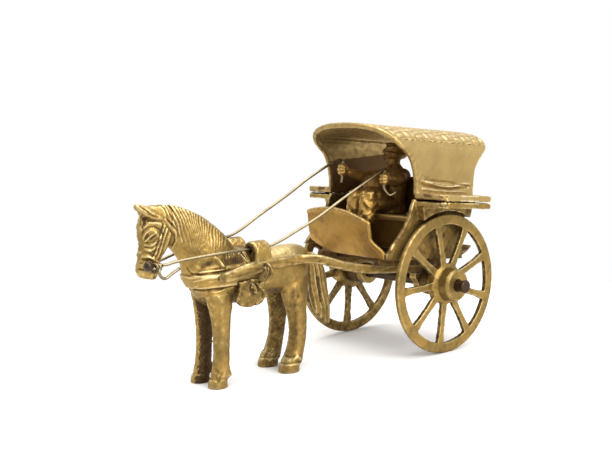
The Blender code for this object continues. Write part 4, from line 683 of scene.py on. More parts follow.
def makeHorse():
    bm = bmesh.new()
    bridgeLoops(bm, [addLoop(bm, Vector((x, 0, z)), left, up, width, height, 44, 2.2)
                     for x, z, height, width in smoothRows(horseParts["trunk"], 4)])
    for part, steps, segments in (("neck", 5, 44), ("head", 4, 40)):
        loops = []
        for firstX, firstZ, lastX, lastZ, width in smoothRows(horseParts[part], steps):
            first, last = Vector((firstX, 0, firstZ)), Vector((lastX, 0, lastZ))
            middle, half = (first + last) / 2, (first - last).length / 2
            if part == "neck":
                loops.append(addLoop(bm, middle, left, (first - last).normalized(), width, half, segments))
            else:
                loops.append(addLoop(bm, middle, (last - first).normalized(), left, half, width, segments))
        bridgeLoops(bm, loops)
    footX, footY, footZ = horseParts["earFoot"]
    for side, reach in zip((1, -1), horseParts["earReach"]):
        for leg in ("foreLeg", "hindLeg"):
            addLimb(bm, [(x, side * y, z, a, b) for x, y, z, a, b in horseParts[leg]], 4)
        ear = smoothRows([(x * reach, -side * y, z * reach, r) for x, y, z, r in horseParts["ear"]], 4)
        addTube(bm, [(footX + x, side * footY + y, footZ + z) for x, y, z, _ in ear], [r for *_, r in ear])
    addBall(bm, *horseParts["forelock"])
    tail = smoothRows(horseParts["tail"], 5)
    addTube(bm, [row[:3] for row in tail], [row[3] for row in tail], 24)
    addLimb(bm, horseParts["tailHair"], 4)
    moveToHorse(bm)
    makeCasting("horseCasting", bm, horseParts, "horse", "rubbedBrass", horseDetail, horseTarnishAndShade, rounds=20,
                rubAt=backHighlight)


def slanted(x, y, z, halfWidth):
    # side-view place of a point once it is slid, a little from the front, out to the reference half width
    inside = halfWidth - np.abs(y)
    return x + 0.715 * inside, z + 0.2935 * inside


def tooledLines(places, normals):
    # rise and darkness of all tooled lines of the head, the shoulder and the legs
    x, y, z = fromHorse(places)
    sideways = np.abs(normals[:, 1])
    outer = facingOut(places, normals)
    low, high = horseZones["headHeights"]
    head = softStep(x, *horseZones["headFrom"]) * (z > low) * (z < high) * softStep(sideways, 0.30, 0.62)
    shoulder = window(z, *horseZones["shoulderHeights"]) * softStep(x, *horseZones["shoulderFrom"])
    shoulder *= (x < horseZones["shoulderTo"]) * (0.78 + 0.30 * lumps(places, 2.4))
    shoulder *= strongest(softStep(outer, 0.15, 0.4), softStep(normals[:, 0], 0.2, 0.6))
    legs = (z < horseZones["legsTop"]) * softStep(outer, -0.2, 0.2)
    rise = np.zeros(len(x))
    dark = np.zeros(len(x))
    # each zone with the half width that its lines are drawn at
    for zone, halfWidth, strokes in ((head, 4.7, headStrokes), (shoulder, 8.8, shoulderStrokes),
                                     (legs, 9.3, legStrokes)):
        zoneRise, zoneDark = pressStrokes(*slanted(x, y, z, halfWidth), strokes)
        rise += zone * zoneRise
        dark = np.maximum(dark, zone * zoneDark)
    return rise, dark


def backHighlight(places, normals):
    # painted highlight: the upward faces of the rump and the back are the palest
    return 0.30 * softStep(normals[:, 2], 0.2, 0.9) * (1 - softStep(places[:, 0] - horseX, *horseZones["backEnds"]))


def horseTarnishAndShade(places, normals):
    # painted shade on the inner sides of the legs, the belly, the tail's hollow, the neck and the lower body, with
    # darker backs of the legs; the tooled lines, the mane and the fringe hold dirt
    x, y, z = fromHorse(places)
    rough = 0.5 + 0.5 * lumps(places, 0.5)
    foreDark, hindDark = horseDark["innerForeLeg"], horseDark["innerHindLeg"]
    # painted shade on the inner sides of the legs
    inward = softStep(-facingOut(places, normals) + 0.07 * lumps(places, 0.45), 0.28, 0.58)
    inward *= 1 - softStep(z, *horseZones["innerLegTop"])
    inward *= np.where(x > 0, foreDark[0], hindDark[0]) + np.where(x > 0, foreDark[1], hindDark[1]) * rough
    behind = softStep(-normals[:, 0], 0.5, 0.9) * (1 - softStep(z, *horseZones["legBackTop"])) * horseDark["legBack"]
    # painted shade under the belly
    under = softStep(-normals[:, 2], 0.1, 0.7) * (1 - softStep(z, *horseZones["bellyTop"])) * (z > 1)
    lines = horseDark["lines"] * tooledLines(places, normals)[1]
    hairX, hairZ = slanted(x, y, z, horseRise["maneAt"])
    ribs, inMane = maneRibs(hairX, hairZ)
    plain, more = horseDark["mane"]
    mane = inMane * (plain + more * nearPoll(hairX, hairZ)) * (1 - softStep(ribs, 0.10, 0.60))
    strands = softStep(fringeRibs(x, z), 0.4, 0.9) * softStep(z, *horseZones["fringeStrands"])
    plain, less = horseDark["fringe"]
    fringe = inFringe(x, z, normals) * (plain - less * strands)
    neck = window(z, *horseZones["neckShadeHeights"]) * window(x, *horseZones["neckShadeAlong"])
    # painted shade in the tail's hollow
    plain, more = horseDark["tailHollow"]
    hollow = ridge(strokeDistance(x, z, horseParts["tailHollow"]), 1.1) * (plain + more * lumps(places, 0.7))
    # painted shade, darker towards the bottom of the body; the uneven tone stays off upward faces
    low = np.where(x < 0, horseDark["lowRear"], horseDark["lowFront"]) * (1 - softStep(z, *horseZones["bodyTop"]))
    skinDark = horseDark["plain"] + low + horseDark["plainUneven"] * rough * (1 - softStep(normals[:, 2], -0.3, 0.5))
    return strongest(inward, behind, under * horseDark["belly"], lines, mane, fringe,
                     neck * horseDark["neckShade"] * rough, (x < horseZones["tailFrom"]) * hollow, skinDark)


ribPlaces = np.linspace(-10, 70, 400)
ribCounts = np.cumsum(0.2005 / (1.28 + 0.62 * softStep(ribPlaces, 25, 34)))      # ribs up to each place on the crest


def maneRibs(x, z):
    # ribs that fan from the poll to the withers, their valleys at 0, and where they are
    crestX, crestZ = np.array(horseParts["crest"]).T
    footX, footZ = np.array(sorted(horseParts["maneFoot"])).T
    below = np.maximum(np.interp(x, crestX, crestZ) - z, 0)
    foot = np.interp(x, footX, footZ)
    sweep = 1.15 * softStep(x + 0.5 * below, 25, 37) - 0.06
    along = x + sweep * 7 * (1 - np.exp(-below / 7)) + 0.16 * np.sin(z * 0.8 + x * 0.35) + 0.2 * np.sin(x * 1.1)
    ragged = 0.9 * np.sin(x * 2.6)
    inMane = (softStep(z, foot - 0.8 + ragged, foot + 1.6 + ragged) * softStep(x, 5, 9)
              * (1 - softStep(x - 0.375 * (z - 72.2), 41.8, 43.2)) * (z > 50))
    return np.abs(np.sin(math.pi * np.interp(along, ribPlaces, ribCounts))), inMane


def nearPoll(x, z):
    return softStep(x + 0.35 * (z - 64), *horseZones["poll"])


def inFringe(x, z, normals):
    # short hair below the mane, between the shoulder and the saddle
    return (window(x, *horseZones["fringeAlong"]) * window(z, *horseZones["fringeHeights"])
            * (np.abs(normals[:, 1]) > 0.3))


def fringeRibs(x, z):
    return np.abs(np.sin(math.pi * (x + 0.10 * (z - 49) + 0.2 * np.sin(x * 2.1)) / 0.85))


def horseDetail(places, normals):
    x, y, z = fromHorse(places)
    hairX, hairZ = slanted(x, y, z, horseRise["maneAt"])
    ribs, inMane = maneRibs(hairX, hairZ)
    plain, more = horseRise["mane"]
    depth = inMane * (plain + more * nearPoll(hairX, hairZ)) * (ribs - horseRise["valley"])
    # the face seen from the front: forelock, brow band and noseband
    front = softStep(normals[:, 0], 0.25, 0.6) * (x > 43) * (z > 44)
    for band in ("noseband", "browBand"):
        height, width, rise = horseRise[band]
        depth += front * rise * ridge(z - height, width)
    depth += front * 0.10 * lumps(places, 1.0)
    locks = ridge(np.abs(y) - 1.0, 0.38) + ridge(np.abs(y) - 2.4, 0.38)
    depth -= front * softStep(z, 64.6, 65.6) * horseRise["forelock"] * locks
    # breast strap
    middle = np.interp(x, *np.array(horseParts["strap"]).T)
    onStrap = softStep(horseParts["strapHalfHeight"] + 0.25 - np.abs(z - middle), 0.0, 0.55) * softStep(x, 1.5, 3.5)
    onStrap *= strongest(softStep(np.abs(normals[:, 1]), 0.3, 0.6), softStep(normals[:, 0], 0.2, 0.5))
    depth += onStrap * horseParts["strapRise"]
    depth += horseRise["lines"] * tooledLines(places, normals)[0]
    more, less = horseRise["fringe"]
    depth += inFringe(x, z, normals) * (more * fringeRibs(x, z) - less)
    # tail strands
    onTail = (1 - softStep(x, -31.5, -30)) * (z > 12)
    strands = np.sin((x - 0.20 * z + 0.25 * np.sin(z * 0.35)) * 3.0) * softStep(-x, 31, 34)
    depth += onTail * horseRise["tailStrands"] * strands
    hollow = softStep(y, -0.5, 0.5) * ridge(strokeDistance(x, z, horseParts["tailHollow"]), 0.95)
    depth -= onTail * horseRise["tailHollow"] * hollow
    # coronet above each hoof
    height, width, rise = horseRise["coronet"]
    depth -= (z < 7) * rise * ridge(z - height, width)
    # rough inner sides, and a hand-filed skin elsewhere
    inward = softStep(-facingOut(places, normals), 0.25, 0.6) * (1 - softStep(z, *horseZones["innerLegSkinTop"]))
    depth += inward * (z > 0.5) * uneven(places, 0.12, 0.6, 0.10, 0.36)
    return depth + softStep(z, *horseZones["standing"]) * uneven(places, 0.07, 1.9, 0.05, 0.8)


makeHorse()


# Saddle pad and its two rein blocks

saddle = {
    "padMiddle": 1.2, "padHalfLength": 4.6, "padHalfThickness": 1.0, "padHalfWidth": 9.2, "padBase": 41.0,
    "padRise": 11.0, "padAngles": range(-80, 81, 5), "voxel": 0.26, "softening": 3,
    "blockFront": 4.4, "blockRear": -3.5, "blockSide": 8.0, "blockMiddle": 50.8, "blockRadius": 4.5,
    "blockDrop": 3.9, "holeMiddle": 51.8, "holeRadius": 1.35, "edge": 0.8, "squareness": 0.35,
}


def addBlock(bm, side):
    # a thick ring whose lower half runs straight down, with the rein's hole through it
    loops = []
    front, rear, edge = saddle["blockFront"], saddle["blockRear"], saddle["edge"]
    for x, less in ((front, edge), (front - edge, 0.0), (rear + edge, 0.0), (rear, edge)):
        verts = bmesh.ops.create_circle(bm, cap_ends=False, radius=1.0, segments=48)["verts"]
        radius = saddle["blockRadius"] - less
        for vert in verts:
            u, v = vert.co.x, vert.co.y
            if v < 0:
                u = math.copysign(abs(u) ** saddle["squareness"], u)
                v = -abs(v) ** saddle["squareness"] * saddle["blockDrop"] / radius
            vert.co = Vector((x, side * saddle["blockSide"], saddle["blockMiddle"])) + (left * u + up * v) * radius
        loops.append(edgesOf(verts))
    for x in (rear, front):
        loops.append(addLoop(bm, Vector((x, side * saddle["blockSide"], saddle["holeMiddle"])), left, up,
                             saddle["holeRadius"], saddle["holeRadius"], 48))
    for near, far in zip(loops, loops[1:] + loops[:1]):
        bmesh.ops.bridge_loops(bm, edges=near + far)


def makeSaddle():
    bm = bmesh.new()
    loops = []
    for angle in map(math.radians, saddle["padAngles"]):
        out = Vector((0, math.sin(angle), math.cos(angle)))
        place = Vector((saddle["padMiddle"], saddle["padHalfWidth"] * out.y,
                        saddle["padBase"] + saddle["padRise"] * out.z))
        loops.append(addLoop(bm, place, ahead, out, saddle["padHalfLength"], saddle["padHalfThickness"], 24, 4.0))
    bridgeLoops(bm, loops)
    for side in (1, -1):
        addBlock(bm, side)
    moveToHorse(bm)
    makeCasting("saddlePad", bm, saddle, "harness_saddle", "rubbedBrass", saddleRelief, saddleTarnish)


def saddleRelief(places, normals):
    return uneven(places, 0.06, 0.9, 0.05, 0.5)


def saddleTarnish(places, normals):
    # dark in front and in the holes, but for a bright crescent over each hole
    x, y, z = fromHorse(places)
    fromMiddle = np.hypot(np.abs(y) - saddle["blockSide"], z - saddle["holeMiddle"])
    face = softStep(normals[:, 0], 0.6, 0.9) * (0.66 + 0.2 * lumps(places, 1.2))
    hole = 1 - softStep(fromMiddle, saddle["holeRadius"] + 0.2, saddle["holeRadius"] + 0.8)
    crescent = softStep(z, 53.0, 54.2) * softStep(fromMiddle, 3.0, 3.5)
    between = (np.abs(y) < 4) * (x > 2) * 0.6
    low = (1 - softStep(z, 46.5, 49.0)) * 0.5
    return strongest(face * (1 - crescent), hole, between, low)


makeSaddle()


# Girth: a leaf-shaped flap on each side, with the strap ends that are knotted round the shaft

girth = {
    "voxel": 0.25, "softening": 2, "side": 9.6,
    # x and z of the leaf's edge, then its layers: how far out and what share of the edge
    "leaf": [(11.0, 40.6), (11.4, 37.4), (12.8, 34.2), (12.2, 32.4), (10.6, 31.1), (8.8, 30.3), (6.1, 30.0),
             (3.4, 30.6), (1.2, 32.0), (0.2, 34.8), (1.0, 38.0), (2.0, 41.0)],
    "layers": ((-1.0, 0.92), (-0.7, 0.98), (0.2, 1.0), (0.75, 0.93), (0.95, 0.70)),
    # x, y, z, half width of the strap that comes down behind the shaft
    "strap": [(2.4, 12.4, 46.9, 1.0), (0.8, 13.2, 46.0, 1.6), (-0.9, 13.4, 44.4, 2.0), (-1.1, 12.7, 41.8, 1.9),
              (0.6, 11.7, 39.4, 1.5), (2.6, 11.2, 37.4, 1.0)],
    "strapHalfThickness": 0.55,
    "rim": [(2.6, 10.8, 38.4), (1.2, 10.9, 36.8), (-0.1, 10.7, 34.9), (0.1, 10.4, 33.0), (1.6, 10.2, 31.6),
            (3.8, 10.1, 30.9)],
    "rimRadius": 0.85,
    # the ring of the knot, and the end that lies across it, from the knot's middle
    "knot": (4.3, 10.6, 37.4), "knotRadius": 1.7, "knotThickness": 0.62,
    "across": [(2.2, 0.0, 2.6), (0.6, 0.5, 0.6), (-1.3, 0.0, -2.2)], "acrossRadii": [0.5, 0.75, 0.5],
    # creases: path, width, rise, darkness
    "folds": [([(2.2, 46.8), (1.6, 46.2)], 0.90, -0.40, 1.0),
              ([(0.9, 46.6), (-0.9, 45.0), (-1.2, 42.4), (0.4, 39.8)], 0.35, -0.40, 0.9),
              ([(0.4, 45.2), (0.2, 42.0), (1.6, 39.4)], 0.30, -0.35, 0.8),
              ([(-0.2, 46.4), (-2.2, 44.0), (-2.0, 41.6)], 0.45, 0.35, 0.0),
              ([(9.0, 39.0), (9.6, 36.0), (8.2, 33.4)], 0.80, -0.18, 0.3),
              ([(6.6, 34.4), (5.0, 32.6)], 0.50, -0.20, 0.5)],
}


def addRibbon(bm, rows, thickness):
    loops = []
    rows = smoothRows(rows, 6)
    for i, (x, y, z, width) in enumerate(rows):
        before, after = Vector(rows[max(i - 1, 0)][:3]), Vector(rows[min(i + 1, len(rows) - 1)][:3])
        along = (after - before).normalized()
        across = along.cross(left).normalized()
        loops.append(addLoop(bm, Vector((x, y, z)), across, along.cross(across), width, thickness, 20, 3.0))
    bridgeLoops(bm, loops)


def makeGirth():
    bm = bmesh.new()
    edge = smoothRows(girth["leaf"] + girth["leaf"][:1], 5)[:-1]
    middleX, middleZ = (sum(values) / len(edge) for values in zip(*edge))
    knot = Vector(girth["knot"])
    for side in (1, -1):
        start = len(bm.verts)
        loops = []
        for y, share in girth["layers"]:
            verts = bmesh.ops.create_circle(bm, cap_ends=False, radius=1.0, segments=len(edge))["verts"]
            for vert, (x, z) in zip(verts, edge):
                vert.co = (middleX + (x - middleX) * share, girth["side"] + y, middleZ + (z - middleZ) * share)
            loops.append(edgesOf(verts))
        bridgeLoops(bm, loops)
        addRibbon(bm, girth["strap"], girth["strapHalfThickness"])
        addTube(bm, smoothRows(girth["rim"], 5), girth["rimRadius"], 14)
        radius = girth["knotRadius"]
        ring = [knot + Vector((radius * math.cos(a), 0.35 * math.sin(3 * a), radius * 1.15 * math.sin(a)))
                for a in [math.radians(15 * i) for i in range(23)]]
        addTube(bm, ring, girth["knotThickness"], 12)
        addTube(bm, [knot + Vector(point) for point in girth["across"]], girth["acrossRadii"], 12)
        if side < 0:
            bm.verts.ensure_lookup_table()
            bmesh.ops.scale(bm, vec=(1, -1, 1), verts=bm.verts[start:])
    moveToHorse(bm)
    makeCasting("girthFlaps", bm, girth, "horse", "rubbedBrass", girthFolds, girthTarnishAndShade, replaces=False)


def girthFolds(places, normals):
    x, _, z = fromHorse(places)
    folds = pressStrokes(x, z, girth["folds"])[0]
    return softStep(facingOut(places, normals), 0.2, 0.7) * folds + uneven(places, 0.16, 1.1, 0.10, 0.55)


def girthTarnishAndShade(places, normals):
    x, y, z = fromHorse(places)
    knotX, knotY, knotZ = girth["knot"]
    out = facingOut(places, normals)
    knot = 1 - softStep(np.hypot(x - knotX, z - knotZ), 2.0, 3.4)
    knot *= 0.95 - 0.7 * softStep(np.abs(y), knotY + 0.35, knotY + 0.7)
    # painted shade on the faces towards the horse, and a little on all faces that do not look out
    under = 0.55 * (1 - softStep(out, -0.3, 0.4))
    creases = pressStrokes(x, z, girth["folds"])[1]
    plain = 0.25 * (1 - softStep(out, 0.2, 0.8)) + 0.46 + 0.18 * lumps(places, 1.4)
    return strongest(knot, under, creases, plain)


makeGirth()


# Bit and reins: all points in mm, x from the horse's own zero

bitShape = {"rod": [(44.2, -6.2, 50.0), (46.2, 0.0, 50.1), (47.9, 5.0, 50.3)], "rodRadius": 0.8,
            # balls: middle, radii
            "balls": (((48.1, 5.3, 50.4), (1.8, 1.8, 1.95)), ((44.2, -6.2, 50.0), (1.15, 1.15, 1.15)),
                      ((46.0, 5.7, 48.4), (0.95, 0.95, 0.95))),
            "neck": [(46.0, 5.7, 48.4), (47.5, 4.1, 49.8)], "neckRadius": 0.5, "voxel": 0.2, "softening": 2}
reinWire = {
    "radius": 0.56, "segments": 14, "twist": 0.78, "turns": 1.6,
    "twistFrom": (45.8, 6.2, 50.2), "twistTo": (42.2, 6.5, 49.6), "tailLeaves": 0.62, "tailFrom": (46.2, 4.3, 50.9),
    "eye": (47.4, 4.1, 50.3), "eyeRadius": 1.5, "eyeAngles": range(200, -57, -32), "eyeLean": 0.3,
    "near": [(40.6, 6.7, 50.5), (38.6, 6.8, 50.9), (35.8, 7.0, 51.2), (30.9, 7.4, 51.6), (17.0, 8.7, 52.3),
             (8.0, 8.1, 52.2), (0.0, 8.0, 52.3), (-5.5, 8.1, 52.6), (-11.0, 8.6, 54.2), (-17.3, 9.1, 56.8),
             (-29.7, 9.8, 61.9), (-42.8, 10.5, 68.5), (-55.9, 11.2, 74.9), (-63.6, 11.6, 78.6), (-65.6, 11.8, 79.2),
             (-66.1, 11.8, 78.0), (-65.8, 11.8, 75.4), (-65.5, 11.8, 71.8), (-66.2, 12.3, 69.8), (-67.8, 13.2, 68.3),
             (-70.2, 14.4, 69.6)],
    "nearTail": [(44.7, 7.0, 48.6), (44.6, 7.2, 47.2), (43.6, 7.1, 45.9), (41.9, 7.0, 45.5), (39.3, 7.1, 46.9),
                 (36.0, 7.2, 48.5)],
    "far": [(43.6, -4.6, 49.0), (45.0, -5.2, 48.7), (45.7, -6.0, 50.0), (44.6, -7.0, 51.0), (42.8, -7.2, 50.2),
            (40.0, -6.9, 49.6), (36.0, -6.7, 49.9), (29.5, -6.9, 51.6), (17.0, -8.3, 54.3), (8.0, -8.2, 55.7),
            (1.9, -8.0, 56.0), (-4.5, -8.2, 58.3), (-13.0, -8.6, 62.5), (-29.9, -9.3, 70.3), (-41.0, -9.7, 76.0),
            (-53.4, -10.2, 81.2), (-60.0, -10.5, 83.2), (-62.4, -10.6, 82.6), (-62.1, -10.6, 78.9),
            (-61.8, -10.6, 75.2), (-61.6, -10.7, 73.0)],
}


def twisted(start, end, turns, phase, radius):
    # points that wind round a line
    start, end = Vector(start), Vector(end)
    along = (end - start).normalized()
    across = along.cross(left).normalized()
    other = along.cross(across)
    made = []
    for i in range(int(turns * 8) + 1):
        angle = phase + 2 * math.pi * i / 8
        out = across * math.cos(angle) + other * math.sin(angle)
        made.append(tuple(start.lerp(end, i / (turns * 8)) + out * radius))
    return made


def makeWire(name, node, runs):
    bm = bmesh.new()
    for run in runs:
        addTube(bm, smoothRows(run, 4), reinWire["radius"], reinWire["segments"])
    moveToHorse(bm)
    piece = toObject(name, bm)
    # painted shade on the wire's underside
    markWearAndLight(piece, lambda places, normals: 0.95 * softStep(-normals[:, 2], -0.15, 0.6), 1)
    finishPiece(piece, node, "wireBrass")


def makeReins():
    wind = reinWire["twist"]
    start, end = reinWire["twistFrom"], reinWire["twistTo"]
    leaves = tuple(Vector(start).lerp(Vector(end), reinWire["tailLeaves"]))
    x, y, z = reinWire["eye"]
    radius = reinWire["eyeRadius"]
    eye = [(x + radius * math.cos(a), y + reinWire["eyeLean"] * i / 8, z + radius * math.sin(a))
           for i, a in enumerate(map(math.radians, reinWire["eyeAngles"]))]
    nearRun = eye + twisted(start, end, reinWire["turns"], 0.0, wind) + reinWire["near"]
    tailRun = [reinWire["tailFrom"]] + twisted(start, leaves, 1.0, math.pi, wind) + reinWire["nearTail"]
    makeWire("nearRein", "rein_left", [nearRun, tailRun])
    makeWire("farRein", "rein_right", [reinWire["far"]])


def makeBit():
    bm = bmesh.new()
    addTube(bm, smoothRows(bitShape["rod"], 6), bitShape["rodRadius"], 16)
    for middle, radii in bitShape["balls"]:
        addBall(bm, middle, radii)
    addTube(bm, bitShape["neck"], bitShape["neckRadius"], 10)
    moveToHorse(bm)
    makeCasting("bitBall", bm, bitShape, "bit", "polishedSteel", lambda places, normals: 0.04 * lumps(places, 0.6))


makeReins()
makeBit()


# Hood: wavy lines, a nearly closed pair of ledges and painted shade inside

rivetSpots = ((11.0, 35.5), (-7.5, 35.5))
crease = 60.2            # height in the cart's frame where the walls end and the roof begins
ledge = {"inner": 29.5, "corner": (16.9, 42.2), "cornerReach": (1.6, 2.6), "gapAlong": (-12.5, -9.5, 16.0, 17.0),
         "riseFromBelow": 0.45, "riseFromAbove": 0.20}

# wavy lines above the ledge and marks on its front edge: path, width, rise, darkness
hoodLines = [
    ([(13.4, 44.2), (6.0, 43.6), (-0.5, 43.5), (-8.0, 42.6), (-15.9, 42.0)], 0.42, -0.42, 0.95),
    ([(15.2, 42.4), (13.8, 41.5), (5.6, 40.7), (-2.7, 40.3), (-13.7, 41.4)], 0.42, -0.45, 0.95),
    ([(13.0, 43.0), (4.0, 42.2), (-6.0, 41.6), (-14.6, 41.8)], 0.80, 0.25, 0.0),
    ([(9.0, 42.6), (2.0, 41.9), (-5.0, 42.2)], 0.28, -0.30, 0.8),
    ([(-4.0, 41.2), (-10.0, 41.5), (-14.6, 42.6)], 0.28, -0.25, 0.7),
    ([(15.0, 45.6), (13.0, 44.9), (11.0, 44.9)], 0.50, -0.20, 0.5),
    ([(14.6, 40.2), (6.0, 39.6), (-12.0, 39.4)], 0.60, 0.30, 0.0),
]
ledgeMarks = [([(31.6, 37.9), (34.8, 37.3)], 1.1, -0.35, 0.95)]


def nearRivet(places):
    x, y, z = toCart(places)
    return strongest(*((np.abs(x - spotX) < 3.4) * (np.abs(y) > spotY - 3.2) * (z > 30) * 1.0
                       for spotX, spotY in rivetSpots))


def nearCorner(x, y):
    # the cut front corner of a ledge
    cornerX, cornerY = ledge["corner"]
    return 1 - softStep(np.hypot(x - cornerX, np.abs(y) - cornerY), *ledge["cornerReach"])


def closeLedges(x, y, facing):
    # a pair of ledges nearly touches, except behind
    return (np.abs(y) > ledge["inner"]) * softStep(facing, 0.5, 0.8) * window(x, *ledge["gapAlong"])


def nearSeam(places):
    # where the walls meet the roof inside the hood
    return ridge(toCart(places)[2] - crease, 0.9)


def insideCab(places, normals):
    # painted shade darkens the insides of the hood and the tub, the hood's only below the spring of the roof
    x, y, z = toCart(places)
    out = facingOut(places, normals)
    spring = 52.8 - 0.14 * x
    # painted shade on inward faces
    inward = softStep(-out, 0.1, 0.5) * (np.abs(y) < 28)
    inward *= 0.98 - 0.62 * softStep(z - spring, -0.35, 0.35) + 0.12 * lumps(places, 2.2)
    sash = (z > 39) * softStep(out, 0.4, 0.8) * pressStrokes(x, z, hoodLines)[1] * (0.62 + 0.35 * lumps(places, 1.8))
    ledgeEdge = (np.abs(y) > 28.5) * (np.abs(z - 37) < 3.5) * softStep(normals[:, 0], 0.2, 0.6)
    ledgeEdge = ledgeEdge * pressStrokes(np.abs(y), z, ledgeMarks)[1]
    lowEdge = (z < 36) * (z > 30) * (np.abs(y) > 30) * ridge(x - 9.5, 7.0) * 0.55 * (0.7 + 0.3 * lumps(places, 1.2))
    corner = (z > 30) * nearCorner(x, y) * (0.42 + 0.3 * lumps(places, 0.8))
    seam = 0.62 * nearSeam(places) * (out < 0.3)
    return strongest(inward, seam, sash, ledgeEdge, lowEdge, corner)


def hoodRelief(places, normals):
    x, y, z = toCart(places)
    depth = softStep(facingOut(places, normals), 0.4, 0.8) * (z > 39) * pressStrokes(x, z, hoodLines)[0]
    depth += (np.abs(y) > 28.5) * softStep(normals[:, 0], 0.2, 0.6) * pressStrokes(np.abs(y), z, ledgeMarks)[0]
    depth += 0.22 * softStep(normals[:, 2], 0.5, 0.8) * (z > crease - 0.6)      # up to the roof
    depth += (np.abs(y) > 29) * (0.14 * lumps(places, 2.6) + 0.35 * nearCorner(x, y) * lumps(places, 0.9))
    depth += ledge["riseFromAbove"] * (z < 38) * closeLedges(x, y, -normals[:, 2])
    return depth + 0.05 * lumps(places, 1.6) + 0.10 * nearRim(places) * lumps(places, 1.2)


def sideTarnishAndShade(places, normals):
    return np.maximum(insideCab(places, normals), rimTarnish(places))


def calmSide(places):
    return strongest(nearRivet(places), 0.8 * nearRim(places), nearSeam(places))


# Tub sides

def panelRelief(places, normals):
    x, y, z = toCart(places)
    rise = ledge["riseFromBelow"] * (z > 33) * closeLedges(x, y, normals[:, 2])
    corner = (z > 30) * nearCorner(x, y)
    return uneven(places, 0.10, 2.2, 0.07, 0.9) + rise + 0.35 * corner * lumps(places, 0.9)


def panelTarnishAndShade(places, normals):
    # painted shade: the arched skirt under the ledges and the doorway's edge are browner than the hood, and the tub's
    # insides are dark
    _, y, z = toCart(places)
    # painted shade on the skirt below the ledges, with uneven patches
    low = (1 - softStep(z, 31.5, 33.0)) * (0.42 + uneven(places, 0.30, 2.0, 0.14, 0.8))
    inside = np.where(np.abs(y) < 28, 0.62, 1.0)
    return np.maximum(insideCab(places, normals) * inside, low)


def calmPanel(places):
    return np.maximum(nearRivet(places), 0.55 * (toCart(places)[2] < 31))

# Rolled rim round the front of the hood

hoodRim = {
    "radius": 1.25, "inset": 1.2, "back": 0.85, "foot": 38.0,
    # x and height of the front edge, then the arch
    "edge": [(17.9, 36.2), (18.44, 43.5), (20.6, 50.5), (23.84, 54.8), (28.0, 58.2), (32.3, 62.1), (35.9, 66.7)],
    "halfWidth": 27.8, "archStart": 54.2, "top": 66.7, "power": 2.6,
}


def addHoodRim(bm, side):
    # the rim up one wall, or over the top for the roof, which has no side
    low, high = (37, crease + 0.2) if side else (crease - 0.3, 99)
    edgeX, edgeZ = np.array(smoothRows(hoodRim["edge"], 6)).T
    inset = hoodRim["inset"]
    half, start, top = hoodRim["halfWidth"] - inset, hoodRim["archStart"], hoodRim["top"] - inset
    route = [(-half, z) for z in np.linspace(hoodRim["foot"], start, 12)]
    for angle in np.linspace(-90, 90, 49)[1:-1]:
        share = abs(math.sin(math.radians(angle))) ** (2 / hoodRim["power"])
        rise = (1 - share ** hoodRim["power"]) ** (1 / hoodRim["power"])
        route.append((math.copysign(share * half, angle), start + (top - start) * rise))
    route += [(half, z) for z in np.linspace(start, hoodRim["foot"], 12)]
    points = []
    for y, z in route:
        if low <= z <= high and (not side or y * side > 0):
            x = float(np.interp(z + inset * (z - start) / (top - start) if z > start else z, edgeZ, edgeX))
            points.append(cartPlace @ Vector((x - hoodRim["back"], y, z)))
    addTube(bm, points, hoodRim["radius"], 18)


def nearRim(places):
    # 1 on the rolled rim at the hood's front, 0 elsewhere
    x, _, z = toCart(places)
    edgeX, edgeZ = np.array(smoothRows(hoodRim["edge"], 6)).T
    return softStep(x - np.interp(z, edgeZ, edgeX), -3.2, -2.2)


def rimTarnish(places):
    return nearRim(places) * (0.28 + 0.26 * lumps(places, 1.5))


# Roof

weave = {"along": 6.0, "across": 5.0, "sway": 0.05, "start": 0.3, "roundness": 0.7, "rise": 0.62, "sink": 0.34}


def roofWeave(places, normals):
    # an embossed basket weave on the outside, above the crease
    x, y, z = toCart(places)
    u = x / weave["along"] + weave["start"] + weave["sway"] * np.sin(y * 0.7)
    v = y / weave["across"] + weave["sway"] * np.sin(x * 0.6)
    alongU, alongV = (np.abs(np.sin(math.pi * a)) ** weave["roundness"]
                      * (0.55 + 0.45 * np.abs(np.sin(math.pi * b * 2))) for a, b in ((u, v), (v, u)))
    woven = np.where((np.floor(u).astype(int) + np.floor(v).astype(int)) % 2 == 0, alongU, alongV)
    seam = 0.25 * softStep(-normals[:, 2], 0.5, 0.8) * (z < crease + 0.9)      # down to the walls
    rim = nearRim(places)
    outside = (1 - rim) * softStep(normals[:, 2], 0.1, 0.4)
    depth = outside * (weave["rise"] * woven - weave["sink"] + 0.10 * lumps(places, 1.4))
    return depth + seam + 0.10 * rim * lumps(places, 1.2)


def underRoof(places, normals):
    seam = 0.62 * nearSeam(places) * (normals[:, 2] < 0.1)
    # painted shade on the roof's downward faces, a dark seam, and the rim's tarnish
    return strongest(0.34 * softStep(-normals[:, 2], 0.0, 0.5), seam, rimTarnish(places))


def calmRoof(places):
    return np.maximum(nearRim(places), nearSeam(places))


# Wheels: uneven as they came from the mould, with painted shade towards the cart and on the sides of the spokes and
# rims

wheelShape = {"spokes": (9.0, 11.0, 24.0, 25.0), "thicker": 0.30, "tread": (28.8, 29.6)}


def wheelParts(places, normals):
    # distance from the axle, then how much a face looks outward and along the spin
    x, z = places[:, 0] - axleX, places[:, 2] - axleZ
    away = np.maximum(np.hypot(x, z), 0.1)
    outward = (normals[:, 0] * x + normals[:, 2] * z) / away
    around = np.abs(normals[:, 2] * x - normals[:, 0] * z) / away
    return away, outward, around


